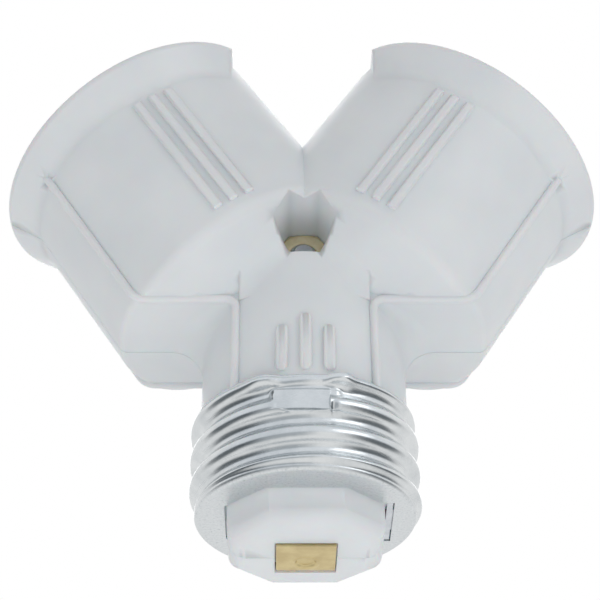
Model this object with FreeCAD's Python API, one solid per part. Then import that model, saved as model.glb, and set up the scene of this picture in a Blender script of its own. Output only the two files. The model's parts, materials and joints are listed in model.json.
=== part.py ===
import FreeCAD, Part
import math
import os

# A two-way lamp socket adapter. A screw base at the bottom goes into a lamp holder, and two
# screw sockets open up and out from it like a Y. Two moulded half shells meet on the plane
# Y = 0 and are held by one screw and nut. Millimetres, +Z up, front is -Y. The origin is on
# the axis of the base, at the underside of the ring that ends its screw shell.

Vector = FreeCAD.Vector

# Socket cups
cup_tilt = 33.0
cup_radius = 17.0
cup_wall = 2.2
partition = 1.6
cup_length = 26.0
cup_end_slope = 0.75
cup_end_round = 2.0
cup_end_x = 7.04
cup_end_above_belly = 8.6
rim_radius = 19.1
rim_length = 5.0
rim_band = 1.0
rim_round = 0.7
rim_gap_half = 8.9
collar_step = 0.8
collar_depth = 3.2
ledge_thickness = 2.0
ledge_width = 5.8
well_taper = 0.4
well_wall = 1.4
well_depth = 7.8
floor_thickness = 2.0

# Lower body, neck and the nose that carries the centre contact
belly_z = 22.8
belly_draft = 7.8
belly_corner_round = 1.2
neck_radius = 12.0
neck_wall = 2.2
neck_top_above_clamp = 2.4
neck_front_fillet = 3.0
neck_side_fillet = 4.0
neck_side_fillet_end = 1.2
plug_radius = 11.7
nose_end_z = -4.4
nose_half_x = 8.7
nose_half_y = 7.9
nose_cut_x = 4.6
nose_cut_y = 4.3
nose_round = 2.2
nose_floor_z = 2.0

# Raised trim on both faces
bead_radius = 0.5
bead_proud = 0.25
bead_start = 4.2
bead_corner_round = 2.4
bead_neck_round = 1.2
rib_width = 1.1
rib_height = 0.45
rib_pitch = 2.1
rib_count = 3
rib_offset = 0.2
rib_start = 5.6
rib_end = 24.3
neck_rib_width = 1.4
neck_rib_pitch = 2.7
neck_rib_bottom_z = 12.7
neck_rib_top_z = 18.6
neck_rib_middle_extra = 1.4
neck_rib_height = 0.45

# Clamp screw and nut through the middle of the body
clamp_z = 32.1
clamp_boss_radius = 5.0
clamp_screw_radius = 1.7
clamp_hole_gap = 0.2
nut_across_flats = 6.0
nut_pocket_gap = 0.12
nut_thickness = 2.4
nut_seat_y = -4.6
screw_past_nut = 0.6
screw_head_radius = 3.3
screw_head_height = 2.2
screw_head_seat_y = 8.5
screw_recess_gap = 0.3
screw_slot_width = 0.9
screw_slot_depth = 1.1

# Rolled screw shell of the base, E27 thread
thread_pitch = 3.629
thread_crest_radius = 13.15
thread_root_radius = 12.1
thread_first_crest_z = 1.35
thread_run_in = 0.8
thread_run_out = 0.9
rows_per_turn = 10
columns_per_half = 8
corner_steps = 3
shell_sheet = 0.3
shell_height = 11.2
shell_rim_radius = 12.95
ring_thickness = 0.35
ring_edge_radius = 12.5
ring_corner = 0.5
ring_opening_gap = 0.3
ring_notch_depth = 0.75
ring_notch_half_y = 4.6
crimp_x = -0.4
crimp_half_x = 3.0
crimp_low_z = 7.3
crimp_high_z = 9.6
crimp_face_y = -12.4

# Socket liners
liner_side_gap = 1.15
liner_sheet = 0.35
liner_lip_side_gap = 0.3
liner_lip_gap = 0.1
liner_turn = 0.5
liner_flange_past_ledge = 1.6
tongue_out = 1.5
tongue_half_width = 1.5
tongue_foot_drop = 0.6
tongue_foot_length = 3.575

# Contacts and conductors
pad_half_x = 3.3
pad_half_y = 3.5
pad_proud = 0.3
pad_gap = 0.15
stem_thickness = 0.8
stem_y = 3.1
stem_bend = 1.0
stem_top_z = 25.2
dimple_y = 0.6
dimple_radius = 1.3
dimple_depth = 0.35
live_thickness = 0.6
live_half_width = 2.5
live_base_half_x = 4.5
live_foot_inner = 4.4
live_foot_outer = 8.0
neutral_thickness = 0.5
neutral_leg_half_width = 2.4
neutral_foot_length = 1.6
neutral_jog_low_z = 12.6
neutral_jog_high_z = 15.6
neutral_upper_x = 6.4
neutral_wing_low_z = 18.0
neutral_wing_high_z = 23.8
neutral_plate_inside = 4.0
neutral_band_z = 24.9
neutral_band_height = 1.7
neutral_riser_foot_z = 26.5
neutral_tab_inner = -0.3
neutral_tab_outer = 3.3
neutral_tab_inside = 0.7
neutral_rivet_inside = 2.0
leaf_thickness = 0.4
leaf_half_width = 2.2
leaf_foot_inner = 4.6
leaf_foot_outer = 7.8
leaf_rivet_out = 6.3
leaf_bend = 0.6
leaf_rise = 3.4
leaf_pad_half = 2.2
button_radius = 1.9
button_height = 1.0
button_shank_radius = 0.75
button_shank_gap = 0.1
button_tail_radius = 1.3
button_tail_height = 0.5
rivet_radius = 0.95
rivet_gap = 0.05
rivet_head_radius = 1.3
rivet_head_height = 0.5
rivet_tail_radius = 1.2
rivet_tail_height = 0.4

# Sizes that follow from those above
tilt = math.radians(cup_tilt)
mouth_x = cup_end_x + cup_length * math.sin(tilt)
mouth_z = belly_z + cup_end_above_belly + cup_length * math.cos(tilt)
draft = math.tan(math.radians(belly_draft))
cup_bore = cup_radius - cup_wall
collar_radius = cup_bore - collar_step
well_top_radius = cup_bore - ledge_width
well_floor_radius = well_top_radius - well_taper
liner_radius = cup_bore - liner_side_gap
liner_lip_radius = cup_bore - liner_lip_side_gap
liner_flange_inner = well_top_radius + liner_flange_past_ledge
tongue_foot_end_y = liner_flange_inner + liner_sheet / 2 - tongue_foot_length
neutral_plate_y = liner_flange_inner - neutral_plate_inside
neutral_tab_end_y = liner_flange_inner - neutral_tab_inside
neutral_rivet_y = liner_flange_inner - neutral_rivet_inside
cup_tip_radius = 4.0
cup_tip_depth = cup_length + cup_end_slope * (cup_radius - cup_tip_radius)
under_floor = cup_length
floor_depth = under_floor - floor_thickness
ledge_depth = floor_depth - well_depth
under_ledge = ledge_depth + ledge_thickness
leaf_pad_depth = floor_depth - leaf_rise
end_wall_depth = cup_wall * math.hypot(1, cup_end_slope)
neck_bore = neck_radius - neck_wall
neck_top_z = clamp_z + neck_top_above_clamp
bead_y = neck_radius * 0.775
nut_half = nut_across_flats / 2 + nut_pocket_gap
opening_half_x = nose_half_x + ring_opening_gap
opening_half_y = nose_half_y + ring_opening_gap
leg_x = nose_half_x + ring_opening_gap - 0.05 + neutral_thickness / 2
pad_face_z = nose_end_z - pad_proud
far = 60.0

SIDES = {"left": -1, "right": 1}


def cup_axis(side):
    """The direction out of a socket's mouth."""
    return Vector(side * math.sin(tilt), 0, math.cos(tilt))


def cup_point(side, depth, out, front=0.0):
    """A point in a socket: depth below its mouth, out from its axis and towards the front."""
    along = cup_axis(side) * -depth
    across = Vector(side * math.cos(tilt), 0, -math.sin(tilt)) * out
    return Vector(side * mouth_x, 0, mouth_z) + along + across + Vector(0, -front, 0)


def rounded_edges(corners, place, closed=True):
    """Straight edges with a tangent arc at each corner (a, b, radius), put in space by place."""
    count = len(corners)
    flat = [Vector(a, b, 0) for a, b, _ in corners]
    cuts = []
    for i, (_, _, radius) in enumerate(corners):
        here = flat[i]
        end = not closed and i in (0, count - 1)
        if radius <= 0 or end:
            cuts.append((here, here, None))
            continue
        back = (flat[i - 1] - here).normalize()
        ahead = (flat[(i + 1) % count] - here).normalize()
        half = back.getAngle(ahead) / 2
        reach = radius / math.tan(half)
        middle = (back + ahead).normalize() * (radius / math.sin(half) - radius)
        cuts.append((here + back * reach, here + ahead * reach, here + middle))
    edges = []
    for i, (start, stop, middle) in enumerate(cuts):
        if middle is not None:
            edges.append(Part.Arc(place(start), place(middle), place(stop)).toShape())
        if closed or i < count - 1:
            following = cuts[(i + 1) % count][0]
            if stop.distanceToPoint(following) > 1e-6:
                edges.append(Part.LineSegment(place(stop), place(following)).toShape())
    return edges


def rounded_face(corners, place):
    return Part.Face(Part.Wire(Part.__sortEdges__(rounded_edges(corners, place))))


def turned_in_cup(side, corners):
    """A solid turned about a socket's axis from corners (radius, depth, rounding)."""
    face = rounded_face(corners, lambda p: cup_point(side, p.y, p.x))
    return face.revolve(Vector(side * mouth_x, 0, mouth_z), cup_axis(side), 360)


def turned(corners):
    """A solid turned about the base axis from corners (radius, height, rounding)."""
    face = rounded_face(corners, lambda p: Vector(p.x, 0, p.y))
    return face.revolve(Vector(0, 0, 0), Vector(0, 0, 1), 360)


def bent_strip(corners, thickness, place, across):
    """A strip of sheet bent along its middle line (a, b, bend radius), then given its width."""
    one_face, other_face = [], []
    count = len(corners)
    flat = [Vector(a, b, 0) for a, b, _ in corners]
    for i in range(count):
        back = flat[i] - flat[i - 1] if i else flat[1] - flat[0]
        ahead = flat[i + 1] - flat[i] if i < count - 1 else back
        square_back = Vector(-back.y, back.x, 0).normalize()
        square_ahead = Vector(-ahead.y, ahead.x, 0).normalize()
        middle = (square_back + square_ahead).normalize()
        reach = (thickness / 2) / middle.dot(square_back)
        turning_left = back.x * ahead.y - back.y * ahead.x > 0
        radius = corners[i][2]
        inner = max(radius - thickness / 2, 0) if radius else 0
        outer = radius + thickness / 2 if radius else 0
        first, second = (inner, outer) if turning_left else (outer, inner)
        plus, minus = flat[i] + middle * reach, flat[i] - middle * reach
        one_face.append((plus.x, plus.y, first))
        other_face.append((minus.x, minus.y, second))
    return rounded_face(one_face + other_face[::-1], place).extrude(across)


def block(x0, x1, y0, y1, z0, z1):
    return Part.makeBox(x1 - x0, y1 - y0, z1 - z0, Vector(x0, y0, z0))


def cup_block(side, depth0, depth1, out0, out1, front0, front1):
    """A flat block square to a socket's axis."""
    corners = [
        cup_point(side, depth1, out0, front0),
        cup_point(side, depth1, out1, front0),
        cup_point(side, depth1, out1, front1),
        cup_point(side, depth1, out0, front1),
    ]
    face = Part.Face(Part.makePolygon(corners + [corners[0]]))
    return face.extrude(cup_axis(side) * (depth1 - depth0))


def cup_cylinder(side, radius, depth0, depth1, out=0.0, front=0.0):
    start = cup_point(side, depth1, out, front)
    return Part.makeCylinder(radius, depth1 - depth0, start, cup_axis(side))


def along_y(radius, y0, y1):
    """A round bar along the clamp screw."""
    return Part.makeCylinder(radius, y1 - y0, Vector(0, y0, clamp_z), Vector(0, 1, 0))


def octagon(half_x, half_y, cut_x, cut_y):
    """The outline of a block with its four corners cut off."""
    points = []
    for sx, sy in ((1, -1), (1, 1), (-1, 1), (-1, -1)):
        a = Vector(sx * half_x, sy * (half_y - cut_y), 0)
        b = Vector(sx * (half_x - cut_x), sy * half_y, 0)
        points += [a, b] if sx * sy > 0 else [b, a]
    return Part.Face(Part.makePolygon(points + [points[0]]))


def hexagon(half_flat, y0, y1):
    """A hexagonal bar along the clamp screw, flats up and down."""
    reach = half_flat / math.cos(math.pi / 6)
    corners = [
        Vector(reach * math.cos(k * math.pi / 3), y0, clamp_z + reach * math.sin(k * math.pi / 3))
        for k in range(6)
    ]
    face = Part.Face(Part.makePolygon(corners + [corners[0]]))
    return face.extrude(Vector(0, y1 - y0, 0))


def rivet(side, out, front, head_from, head_to, tail_to):
    """A rivet along a socket's axis, its head up at head_from and its tail spread at tail_to."""
    head = cup_cylinder(side, rivet_head_radius, head_from, head_to, out, front)
    shank = cup_cylinder(side, rivet_radius, head_to - 0.1, tail_to - 0.1, out, front)
    tail_from = tail_to - rivet_tail_height
    tail = cup_cylinder(side, rivet_tail_radius, tail_from, tail_to, out, front)
    return head.fuse(shank).fuse(tail).removeSplitter()


def soften(shape, radius, chosen):
    """Round the chosen edges."""
    return shape.makeFillet(radius, [edge for edge in shape.Edges if chosen(edge)])


def middle_of(edge):
    return edge.valueAt((edge.FirstParameter + edge.LastParameter) / 2)


def faces_of(shape, edge):
    return sorted(type(face.Surface).__name__ for face in shape.ancestorsOfType(edge, Part.Face))


# The moulded body

def below_belly(lift):
    """The space under the body's bottom wall, which rises from the parting plane."""
    rise = far * draft
    points = [
        Vector(-far, 0, belly_z + lift),
        Vector(-far, -far, belly_z + lift + rise),
        Vector(-far, -far, -far),
        Vector(-far, far, -far),
        Vector(-far, far, belly_z + lift + rise),
    ]
    face = Part.Face(Part.makePolygon(points + [points[0]]))
    return face.extrude(Vector(2 * far, 0, 0))


def cup_outside(side):
    """The cylinder of a cup with its tapered closed end."""
    return turned_in_cup(side, [
        (0, 0, 0),
        (cup_radius, 0, rim_round),
        (cup_radius, cup_length, cup_end_round),
        (cup_tip_radius, cup_tip_depth, 0),
        (0, cup_tip_depth, 0),
    ])


def cup_rim(side):
    """The flared rim, cut off flat where the two mouths face each other."""
    ring = turned_in_cup(side, [
        (cup_bore - 0.5, 0, 0),
        (rim_radius, 0, rim_round),
        (rim_radius, rim_band, 0.5),
        (cup_radius, rim_length, 0),
        (cup_bore - 0.5, rim_length, 0),
    ])
    return ring.cut(block(-rim_gap_half, rim_gap_half, -far, far, -far, 2 * far))


def front_skin():
    """The front half of the outer form: two cups and the neck, with their blends."""
    cups = cup_outside(1).fuse(cup_outside(-1)).cut(below_belly(0))
    column = Part.makeCylinder(neck_radius, neck_top_z - shell_height, Vector(0, 0, shell_height))
    skin = cups.fuse(column).common(block(-far, far, -far, 0, -far, 2 * far))
    for side in SIDES.values():
        skin = skin.cut(belly_corner(side)).fuse(neck_face_blend(side)).fuse(neck_flare(side))
    return skin.removeSplitter()


def mirrored(shape, side):
    """A piece made for the right socket, turned over for the left one."""
    return shape if side > 0 else shape.mirror(Vector(0, 0, 0), Vector(1, 0, 0))


def belly_corner(side):
    """What rounding takes off where a cup's side meets the belly."""
    cup = cup_cylinder(1, cup_radius, cup_length - cup_radius, cup_tip_depth + 2 * cup_radius)
    cup = cup.cut(below_belly(0))
    cup = cup.common(block(neck_radius + 3, far, -far, 0, -far, 2 * far))

    def low_edge(edge):
        near_belly = middle_of(edge).z < belly_z + cup_radius * draft + 0.5
        return near_belly and faces_of(cup, edge) == ["Cylinder", "Plane"]

    shaving = cup.cut(soften(cup, belly_corner_round, low_edge))
    return mirrored(shaving.common(block(neck_radius + 6, far, -bead_y, 0, 0, far)), side)


def neck_face_blend(side):
    """The concave blend on the face where the neck runs into the tapered end of a cup."""
    rise = cup_radius * cup_end_slope
    taper = turned_in_cup(1, [
        (0, cup_length - rise, 0),
        (2 * cup_radius, cup_length - rise, 0),
        (cup_tip_radius, cup_tip_depth, 0),
        (0, cup_tip_depth, 0),
    ])
    column = Part.makeCylinder(neck_radius, 2 * far, Vector(0, 0, -far / 2))
    room = block(-1, far, -far, 0, -far, 2 * far)
    both = taper.fuse(column).common(room)

    def inner_edge(edge):
        at = middle_of(edge)
        return faces_of(both, edge) == ["Cone", "Cylinder"] and at.z < mouth_z and at.y < -1

    reach = math.sqrt(neck_radius ** 2 - bead_y ** 2)
    filled = soften(both, neck_front_fillet, inner_edge).cut(both)
    filled = filled.common(block(0, reach, -far, 0, belly_z + 1, neck_top_z + 1))
    return mirrored(filled, side)


def neck_flare(side):
    """The concave blend from the neck's side out to the belly, tighter towards the face."""
    width = neck_radius + neck_side_fillet + 3
    slab = block(0, width, -bead_y, 0, belly_z - 1, belly_z + 5).cut(below_belly(0))
    neck = Part.makeCylinder(neck_radius, belly_z + 5 - shell_height, Vector(0, 0, shell_height))
    corner = slab.fuse(neck.common(block(0, far, -bead_y, 0, 0, far))).removeSplitter()

    def inner_edge(edge):
        at = middle_of(edge)
        near = 0 < at.x < neck_radius and -bead_y < at.y < -0.5 and at.z > belly_z
        return near and at.z < belly_z + 3 and faces_of(corner, edge) == ["Cylinder", "Plane"]

    edges = [edge for edge in corner.Edges if inner_edge(edge)]
    radii = [neck_side_fillet, neck_side_fillet_end]
    if edges[0].valueAt(edges[0].FirstParameter).y < -bead_y / 2:
        radii.reverse()
    corner = corner.makeFillet(radii[0], radii[1], edges)
    return mirrored(corner, side)


def cup_ribs(side):
    """Three fine raised ribs along the front of a cup."""
    skin = turned_in_cup(side, [
        (cup_radius - 1, rib_start, 0),
        (cup_radius + rib_height, rib_start, rib_height / 2),
        (cup_radius + rib_height, rib_end, rib_height / 2),
        (cup_radius - 1, rib_end, 0),
    ])
    ribs = []
    for k in range(rib_count):
        middle = rib_offset + (k - (rib_count - 1) / 2) * rib_pitch
        low, high = middle - rib_width / 2, middle + rib_width / 2
        ribs.append(skin.common(cup_block(side, 0, cup_length, low, high, 0, 2 * cup_radius)))
    return ribs


def neck_ribs():
    """Three short upright pads on the neck, the middle one longer."""
    skin = Part.makeCylinder(neck_radius + neck_rib_height, belly_z)
    skin = skin.cut(Part.makeCylinder(neck_radius - 1, belly_z))
    ribs = []
    for k in (-1, 0, 1):
        x = k * neck_rib_pitch
        top = neck_rib_top_z + (neck_rib_middle_extra if k == 0 else 0)
        half = neck_rib_width / 2
        corners = [
            (x - half, neck_rib_bottom_z, half * 0.95),
            (x + half, neck_rib_bottom_z, half * 0.95),
            (x + half, top, half * 0.95),
            (x - half, top, half * 0.95),
        ]
        face = rounded_face(corners, lambda p: Vector(p.x, 0, p.y))
        ribs.append(skin.common(face.extrude(Vector(0, -far, 0))))
    return ribs


def bead(side):
    """A round bead down a cup, along the belly and down the neck, at the edge of the face."""
    out = math.sqrt((cup_radius + bead_proud) ** 2 - bead_y ** 2)
    top = cup_point(side, bead_start, out)
    down = cup_point(side, cup_length, out)
    belly = belly_z + bead_y * draft
    corner_x = top.x + (down.x - top.x) * (belly - top.z) / (down.z - top.z)
    neck_x = side * math.sqrt((neck_radius + bead_proud) ** 2 - bead_y ** 2)
    corners = [
        (top.x, top.z, 0),
        (corner_x, belly, bead_corner_round),
        (neck_x, belly, bead_neck_round),
        (neck_x, shell_height, 0),
    ]
    edges = rounded_edges(corners, lambda p: Vector(p.x, -bead_y, p.y), closed=False)
    path = Part.Wire(Part.__sortEdges__(edges))
    heading = (Vector(corner_x, 0, belly) - Vector(top.x, 0, top.z)).normalize()
    ring = Part.Wire(Part.makeCircle(bead_radius, Vector(top.x, -bead_y, top.z), heading))
    run = path.makePipeShell([ring], True, False)
    return [run, Part.makeSphere(bead_radius, Vector(top.x, -bead_y, top.z))]


def front_trim():
    trim = neck_ribs()
    for side in SIDES.values():
        trim += cup_ribs(side) + bead(side)
    return trim


def nose():
    """The plug inside the screw shell and the eight-sided nose below it."""
    plug = Part.makeCylinder(plug_radius, shell_height, Vector(0, 0, ring_thickness))
    outline = octagon(nose_half_x, nose_half_y, nose_cut_x, nose_cut_y)
    outline.translate(Vector(0, 0, nose_end_z))
    stub = outline.extrude(Vector(0, 0, ring_thickness - nose_end_z + 1))
    stub = soften(stub, nose_round, lambda edge: abs(middle_of(edge).z - nose_end_z) < 1e-6)
    return plug.fuse(stub)


def inner_cup_solid(side):
    """What stays solid around a socket: its upper wall, the ledge and the well under it."""
    upper = cup_cylinder(side, cup_radius, -1, under_ledge)
    well = turned_in_cup(side, [
        (0, ledge_depth, 0),
        (well_top_radius + well_wall, ledge_depth, 0),
        (well_floor_radius + well_wall, under_floor, 0.4),
        (0, under_floor, 0),
    ])
    return upper.fuse(well)


def socket_bore(side):
    """The stepped hole of a socket: collar, liner bore, and the well of the centre contact."""
    bore = turned_in_cup(side, [
        (0, -2, 0),
        (collar_radius, -2, 0),
        (collar_radius, collar_depth, 0),
        (cup_bore, collar_depth, 0),
        (cup_bore, ledge_depth, 0),
        (well_top_radius, ledge_depth, 0),
        (well_floor_radius, floor_depth, 0.6),
        (0, floor_depth, 0),
    ])
    low, high = sorted((side * partition / 2, side * far))
    return bore.common(block(low, high, -far, far, -far, 2 * far))


def wiring_chamber():
    """The hollow behind the sockets and down the neck, where the strips run."""
    hollow = None
    for side in SIDES.values():
        space = turned_in_cup(side, [
            (0, under_ledge, 0),
            (cup_bore, under_ledge, 0),
            (cup_bore, cup_length + end_wall_depth * -1 + cup_end_slope * cup_wall, 0),
            (0, cup_length - end_wall_depth + cup_end_slope * cup_radius, 0),
        ])
        hollow = space if hollow is None else hollow.fuse(space)
    hollow = hollow.cut(below_belly(cup_wall))
    hollow = hollow.fuse(Part.makeCylinder(neck_bore, clamp_z - nose_floor_z,
                                           Vector(0, 0, nose_floor_z)))
    for side in SIDES.values():
        hollow = hollow.cut(inner_cup_solid(side))
    return hollow.cut(along_y(clamp_boss_radius, -far, far))


def strip_channels():
    """Slots through the plug and nose for the two strips, and the pocket of the contact plate."""
    stem = block(-pad_half_x - pad_gap, pad_half_x + pad_gap,
                 stem_y - stem_thickness / 2 - pad_gap, pad_half_y + pad_gap,
                 nose_end_z - 1, nose_floor_z + 1)
    pocket = block(-pad_half_x - pad_gap, pad_half_x + pad_gap,
                   -pad_half_y - pad_gap, pad_half_y + pad_gap,
                   nose_end_z - 1, pad_face_z + stem_thickness)
    relief = block(-pad_half_x - pad_gap, pad_half_x + pad_gap,
                   stem_y - stem_bend - 0.1, pad_half_y + pad_gap,
                   nose_end_z - 1, pad_face_z + stem_bend + stem_thickness / 2 + 0.1)
    half = neutral_leg_half_width + 0.2
    leg = block(nose_half_x, leg_x + neutral_thickness / 2 + 0.3, -half, half,
                ring_thickness, nose_floor_z + 1)
    foot = block(nose_half_x, leg_x + neutral_thickness / 2 + neutral_foot_length + 0.25,
                 -half, half, ring_thickness, ring_thickness + neutral_thickness + 0.1)
    return [stem, pocket, relief, leg, foot]


def clamp_openings():
    """The nut's pocket from the front, the screw's hole, and the recess for its head."""
    return [
        hexagon(nut_half, -far, nut_seat_y),
        along_y(clamp_screw_radius + clamp_hole_gap, -far, far),
        along_y(screw_head_radius + screw_recess_gap, screw_head_seat_y, far),
    ]


def fixing_holes(side):
    """Holes in the floors: the contact's rivet, the button's tail end and the liner's tongue."""
    hole = cup_cylinder(side, rivet_radius + rivet_gap, floor_depth - 1, under_floor + 1,
                        leaf_rivet_out)
    gap = 0.1
    tongue = cup_block(side, ledge_depth - 0.5, under_ledge + 0.5,
                       tongue_out - tongue_half_width - gap,
                       tongue_out + tongue_half_width + gap,
                       -liner_flange_inner - liner_sheet - gap, -liner_flange_inner + gap)
    return [hole, tongue]


def half_shells():
    """The two moulded halves of the body, split on the plane Y = 0."""
    skin = front_skin()
    rims = cup_rim(1).fuse(cup_rim(-1))
    bulk = skin.multiFuse([rims.common(block(-far, far, -far, 0, -far, 2 * far))] + front_trim())
    bulk = bulk.common(block(-far, far, -far, 0, -far, 2 * far))
    tools = [wiring_chamber()] + strip_channels() + clamp_openings()
    for side in SIDES.values():
        tools.append(socket_bore(side))
        tools += fixing_holes(side)
    halves = {}
    for name in ("front_shell", "rear_shell"):
        if name == "front_shell":
            form = bulk
            space = block(-far, far, -far, 0, -far, 2 * far)
        else:
            form = bulk.mirror(Vector(0, 0, 0), Vector(0, 1, 0))
            space = block(-far, far, 0, far, -far, 2 * far)
        form = form.fuse(nose().common(space))
        for tool in tools:
            form = form.cut(tool)
        halves[name] = form.removeSplitter()
    return halves


# The rolled screw shell of the base

def fade(value, low, high):
    """Zero below low, one above high, and smooth in between."""
    t = min(max((value - low) / (high - low), 0.0), 1.0)
    return t * t * (3 - 2 * t)


def thread_radius(angle, z):
    """Outer radius of the rolled sheet: round crests and roots, one pitch up in each turn."""
    turn = (angle + math.pi / 2) / (2 * math.pi)
    phase = (z - thread_first_crest_z) / thread_pitch - turn
    wave = (1 + math.cos(2 * math.pi * phase)) / 2
    full = thread_root_radius + (thread_crest_radius - thread_root_radius) * wave
    begun = fade(z, ring_corner, ring_corner + thread_run_in)
    ended = fade(z, shell_height - thread_run_out, shell_height)
    radius = ring_edge_radius + (full - ring_edge_radius) * begun
    return radius + (shell_rim_radius - radius) * ended


def sheet_points(angle, inside):
    """The sheet's section at one angle, from the flat ring round the corner and up the thread."""
    corner = ring_corner - ring_thickness if inside else ring_corner
    low = ring_thickness if inside else 0.0
    back = shell_sheet if inside else 0.0
    steps = 1 if inside else corner_steps
    flat = []
    for k in range(steps):
        turn = math.pi / 2 * k / steps
        radius = ring_edge_radius - back - corner + corner * math.sin(turn)
        flat.append((radius, low + corner - corner * math.cos(turn)))
    rows = round((shell_height - ring_corner) / thread_pitch * rows_per_turn)
    for k in range(rows + 1):
        z = ring_corner + (shell_height - ring_corner) * k / rows
        radius = thread_radius(angle, z)
        if inside:
            step = 0.01
            slope = (thread_radius(angle, z + step) - thread_radius(angle, z - step)) / (2 * step)
            radius -= shell_sheet * math.hypot(1, slope)
        flat.append((radius, z))
    if inside:
        flat += [(flat[-1][0], shell_height + 0.4 * k) for k in (1, 2)]
    return [Vector(r * math.cos(angle), r * math.sin(angle), z) for r, z in flat]


def curve_through(points, knots, tangents=None):
    curve = Part.BSplineCurve()
    if tangents:
        curve.interpolate(Points=points, Parameters=knots, InitialTangent=tangents[0],
                          FinalTangent=tangents[1], Scale=False)
    else:
        curve.interpolate(Points=points, Parameters=knots)
    return curve


def half_turn_bands(start, inside):
    """Half a turn of the sheet's face: curves round the axis, joined by fine straight bands."""
    around = [math.pi * k / columns_per_half for k in range(columns_per_half + 1)]
    columns = [sheet_points(start + turn, inside) for turn in around]
    ends = []
    for angle in (start, start + math.pi):
        ahead, behind = sheet_points(angle + 0.001, inside), sheet_points(angle - 0.001, inside)
        ends.append([(a - b) * 500 for a, b in zip(ahead, behind)])
    rows = [
        curve_through([column[k] for column in columns], around, (ends[0][k], ends[1][k]))
        for k in range(len(columns[0]))
    ]
    return [Part.makeRuledSurface(low.toShape(), high.toShape()) for low, high in zip(rows, rows[1:])]


def turned_up_solid(inside):
    """The solid within the sheet's outer or inner face: its curved bands and two flat ends."""
    faces = half_turn_bands(0.0, inside) + half_turn_bands(math.pi, inside)
    section = sheet_points(0.0, inside)
    for level in (section[0].z, section[-1].z):
        around = [
            edge for face in faces for edge in face.Edges
            if abs(edge.Vertexes[0].Z - level) < 1e-6 and abs(middle_of(edge).z - level) < 1e-6
        ]
        faces.append(Part.Face(Part.Wire(Part.__sortEdges__(around))))
    shell = Part.makeShell(faces)
    shell.sewShape()
    solid = Part.makeSolid(shell)
    if solid.Volume < 0:
        solid.reverse()
    return solid


def base_screw_shell():
    """Rolled sheet with its thread, the turned-in end ring and one pressed flat."""
    outer = turned_up_solid(inside=False)
    sheet = outer.cut(turned_up_solid(inside=True))
    wall = shell_sheet
    low_x, high_x = crimp_x - crimp_half_x, crimp_x + crimp_half_x
    pan = outer.common(block(low_x - wall, high_x + wall, -far, crimp_face_y + wall,
                             crimp_low_z - wall, crimp_high_z + wall))
    pressed = block(low_x, high_x, -far, crimp_face_y, crimp_low_z, crimp_high_z)
    sheet = sheet.fuse(pan).cut(pressed)
    opening = octagon(opening_half_x, opening_half_y, nose_cut_x, nose_cut_y)
    opening.translate(Vector(0, 0, -1))
    notch = block(0, opening_half_x + ring_notch_depth, -ring_notch_half_y, ring_notch_half_y,
                  -1, ring_thickness + 1)
    return sheet.cut(opening.extrude(Vector(0, 0, ring_thickness + 2))).cut(notch)


# Metal parts inside

def socket_liner(side):
    """The sleeve a lamp screws into, with a tongue down to the neutral strip."""
    top = collar_depth + liner_lip_gap
    inner = liner_radius - liner_sheet
    turn = liner_turn
    sleeve = turned_in_cup(side, [
        (liner_lip_radius, top, 0),
        (liner_lip_radius, top + liner_sheet, 0),
        (liner_radius, top + liner_sheet, 0),
        (liner_radius, ledge_depth - turn, 0),
        (liner_radius - turn, ledge_depth, 0),
        (liner_flange_inner, ledge_depth, 0),
        (liner_flange_inner, ledge_depth - liner_sheet, 0),
        (inner - turn, ledge_depth - liner_sheet, 0),
        (inner, ledge_depth - liner_sheet - turn, 0),
        (inner, top, 0),
    ])
    plane_y = liner_flange_inner + liner_sheet / 2
    foot = under_floor + tongue_foot_drop + liner_sheet / 2
    edge = tongue_out + tongue_half_width
    tongue = bent_strip(
        [(plane_y, ledge_depth - liner_sheet, 0), (plane_y, foot, 0.6), (tongue_foot_end_y, foot, 0)],
        liner_sheet,
        lambda p: cup_point(side, p.y, edge, -p.x),
        cup_point(side, 0, -2 * tongue_half_width) - cup_point(side, 0, 0),
    )
    hole = cup_cylinder(side, rivet_radius + rivet_gap, foot - 1, foot + 1, tongue_out,
                        -neutral_rivet_y)
    return sleeve.fuse(tongue).cut(hole).removeSplitter()


def contact_leaf(side):
    """A springy brass leaf: a riveted foot, a rise, and a pad under the contact button."""
    foot = floor_depth - leaf_thickness / 2
    pad = leaf_pad_depth + leaf_thickness / 2
    leaf = bent_strip(
        [(leaf_foot_outer, foot, 0), (leaf_foot_inner, foot, leaf_bend),
         (leaf_pad_half + 0.5, pad, leaf_bend), (-leaf_pad_half, pad, 0)],
        leaf_thickness,
        lambda p: cup_point(side, p.y, p.x, leaf_half_width),
        Vector(0, 2 * leaf_half_width, 0),
    )
    rivet_hole = cup_cylinder(side, rivet_radius + rivet_gap, foot - 1, foot + 1, leaf_rivet_out)
    shank_hole = cup_cylinder(side, button_shank_radius + button_shank_gap, pad - 1, pad + 1)
    return leaf.cut(rivet_hole).cut(shank_hole)


def contact_button(side):
    """The domed contact that meets a lamp's tip, with its shank through the leaf."""
    top = leaf_pad_depth - button_height
    low = leaf_pad_depth + leaf_thickness
    return turned_in_cup(side, [
        (0, top, 0),
        (button_radius, top, button_height * 0.6),
        (button_radius, leaf_pad_depth, 0),
        (button_shank_radius, leaf_pad_depth, 0),
        (button_shank_radius, low, 0),
        (button_tail_radius, low, 0),
        (button_tail_radius, low + button_tail_height, 0),
        (0, low + button_tail_height, 0),
    ])


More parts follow.
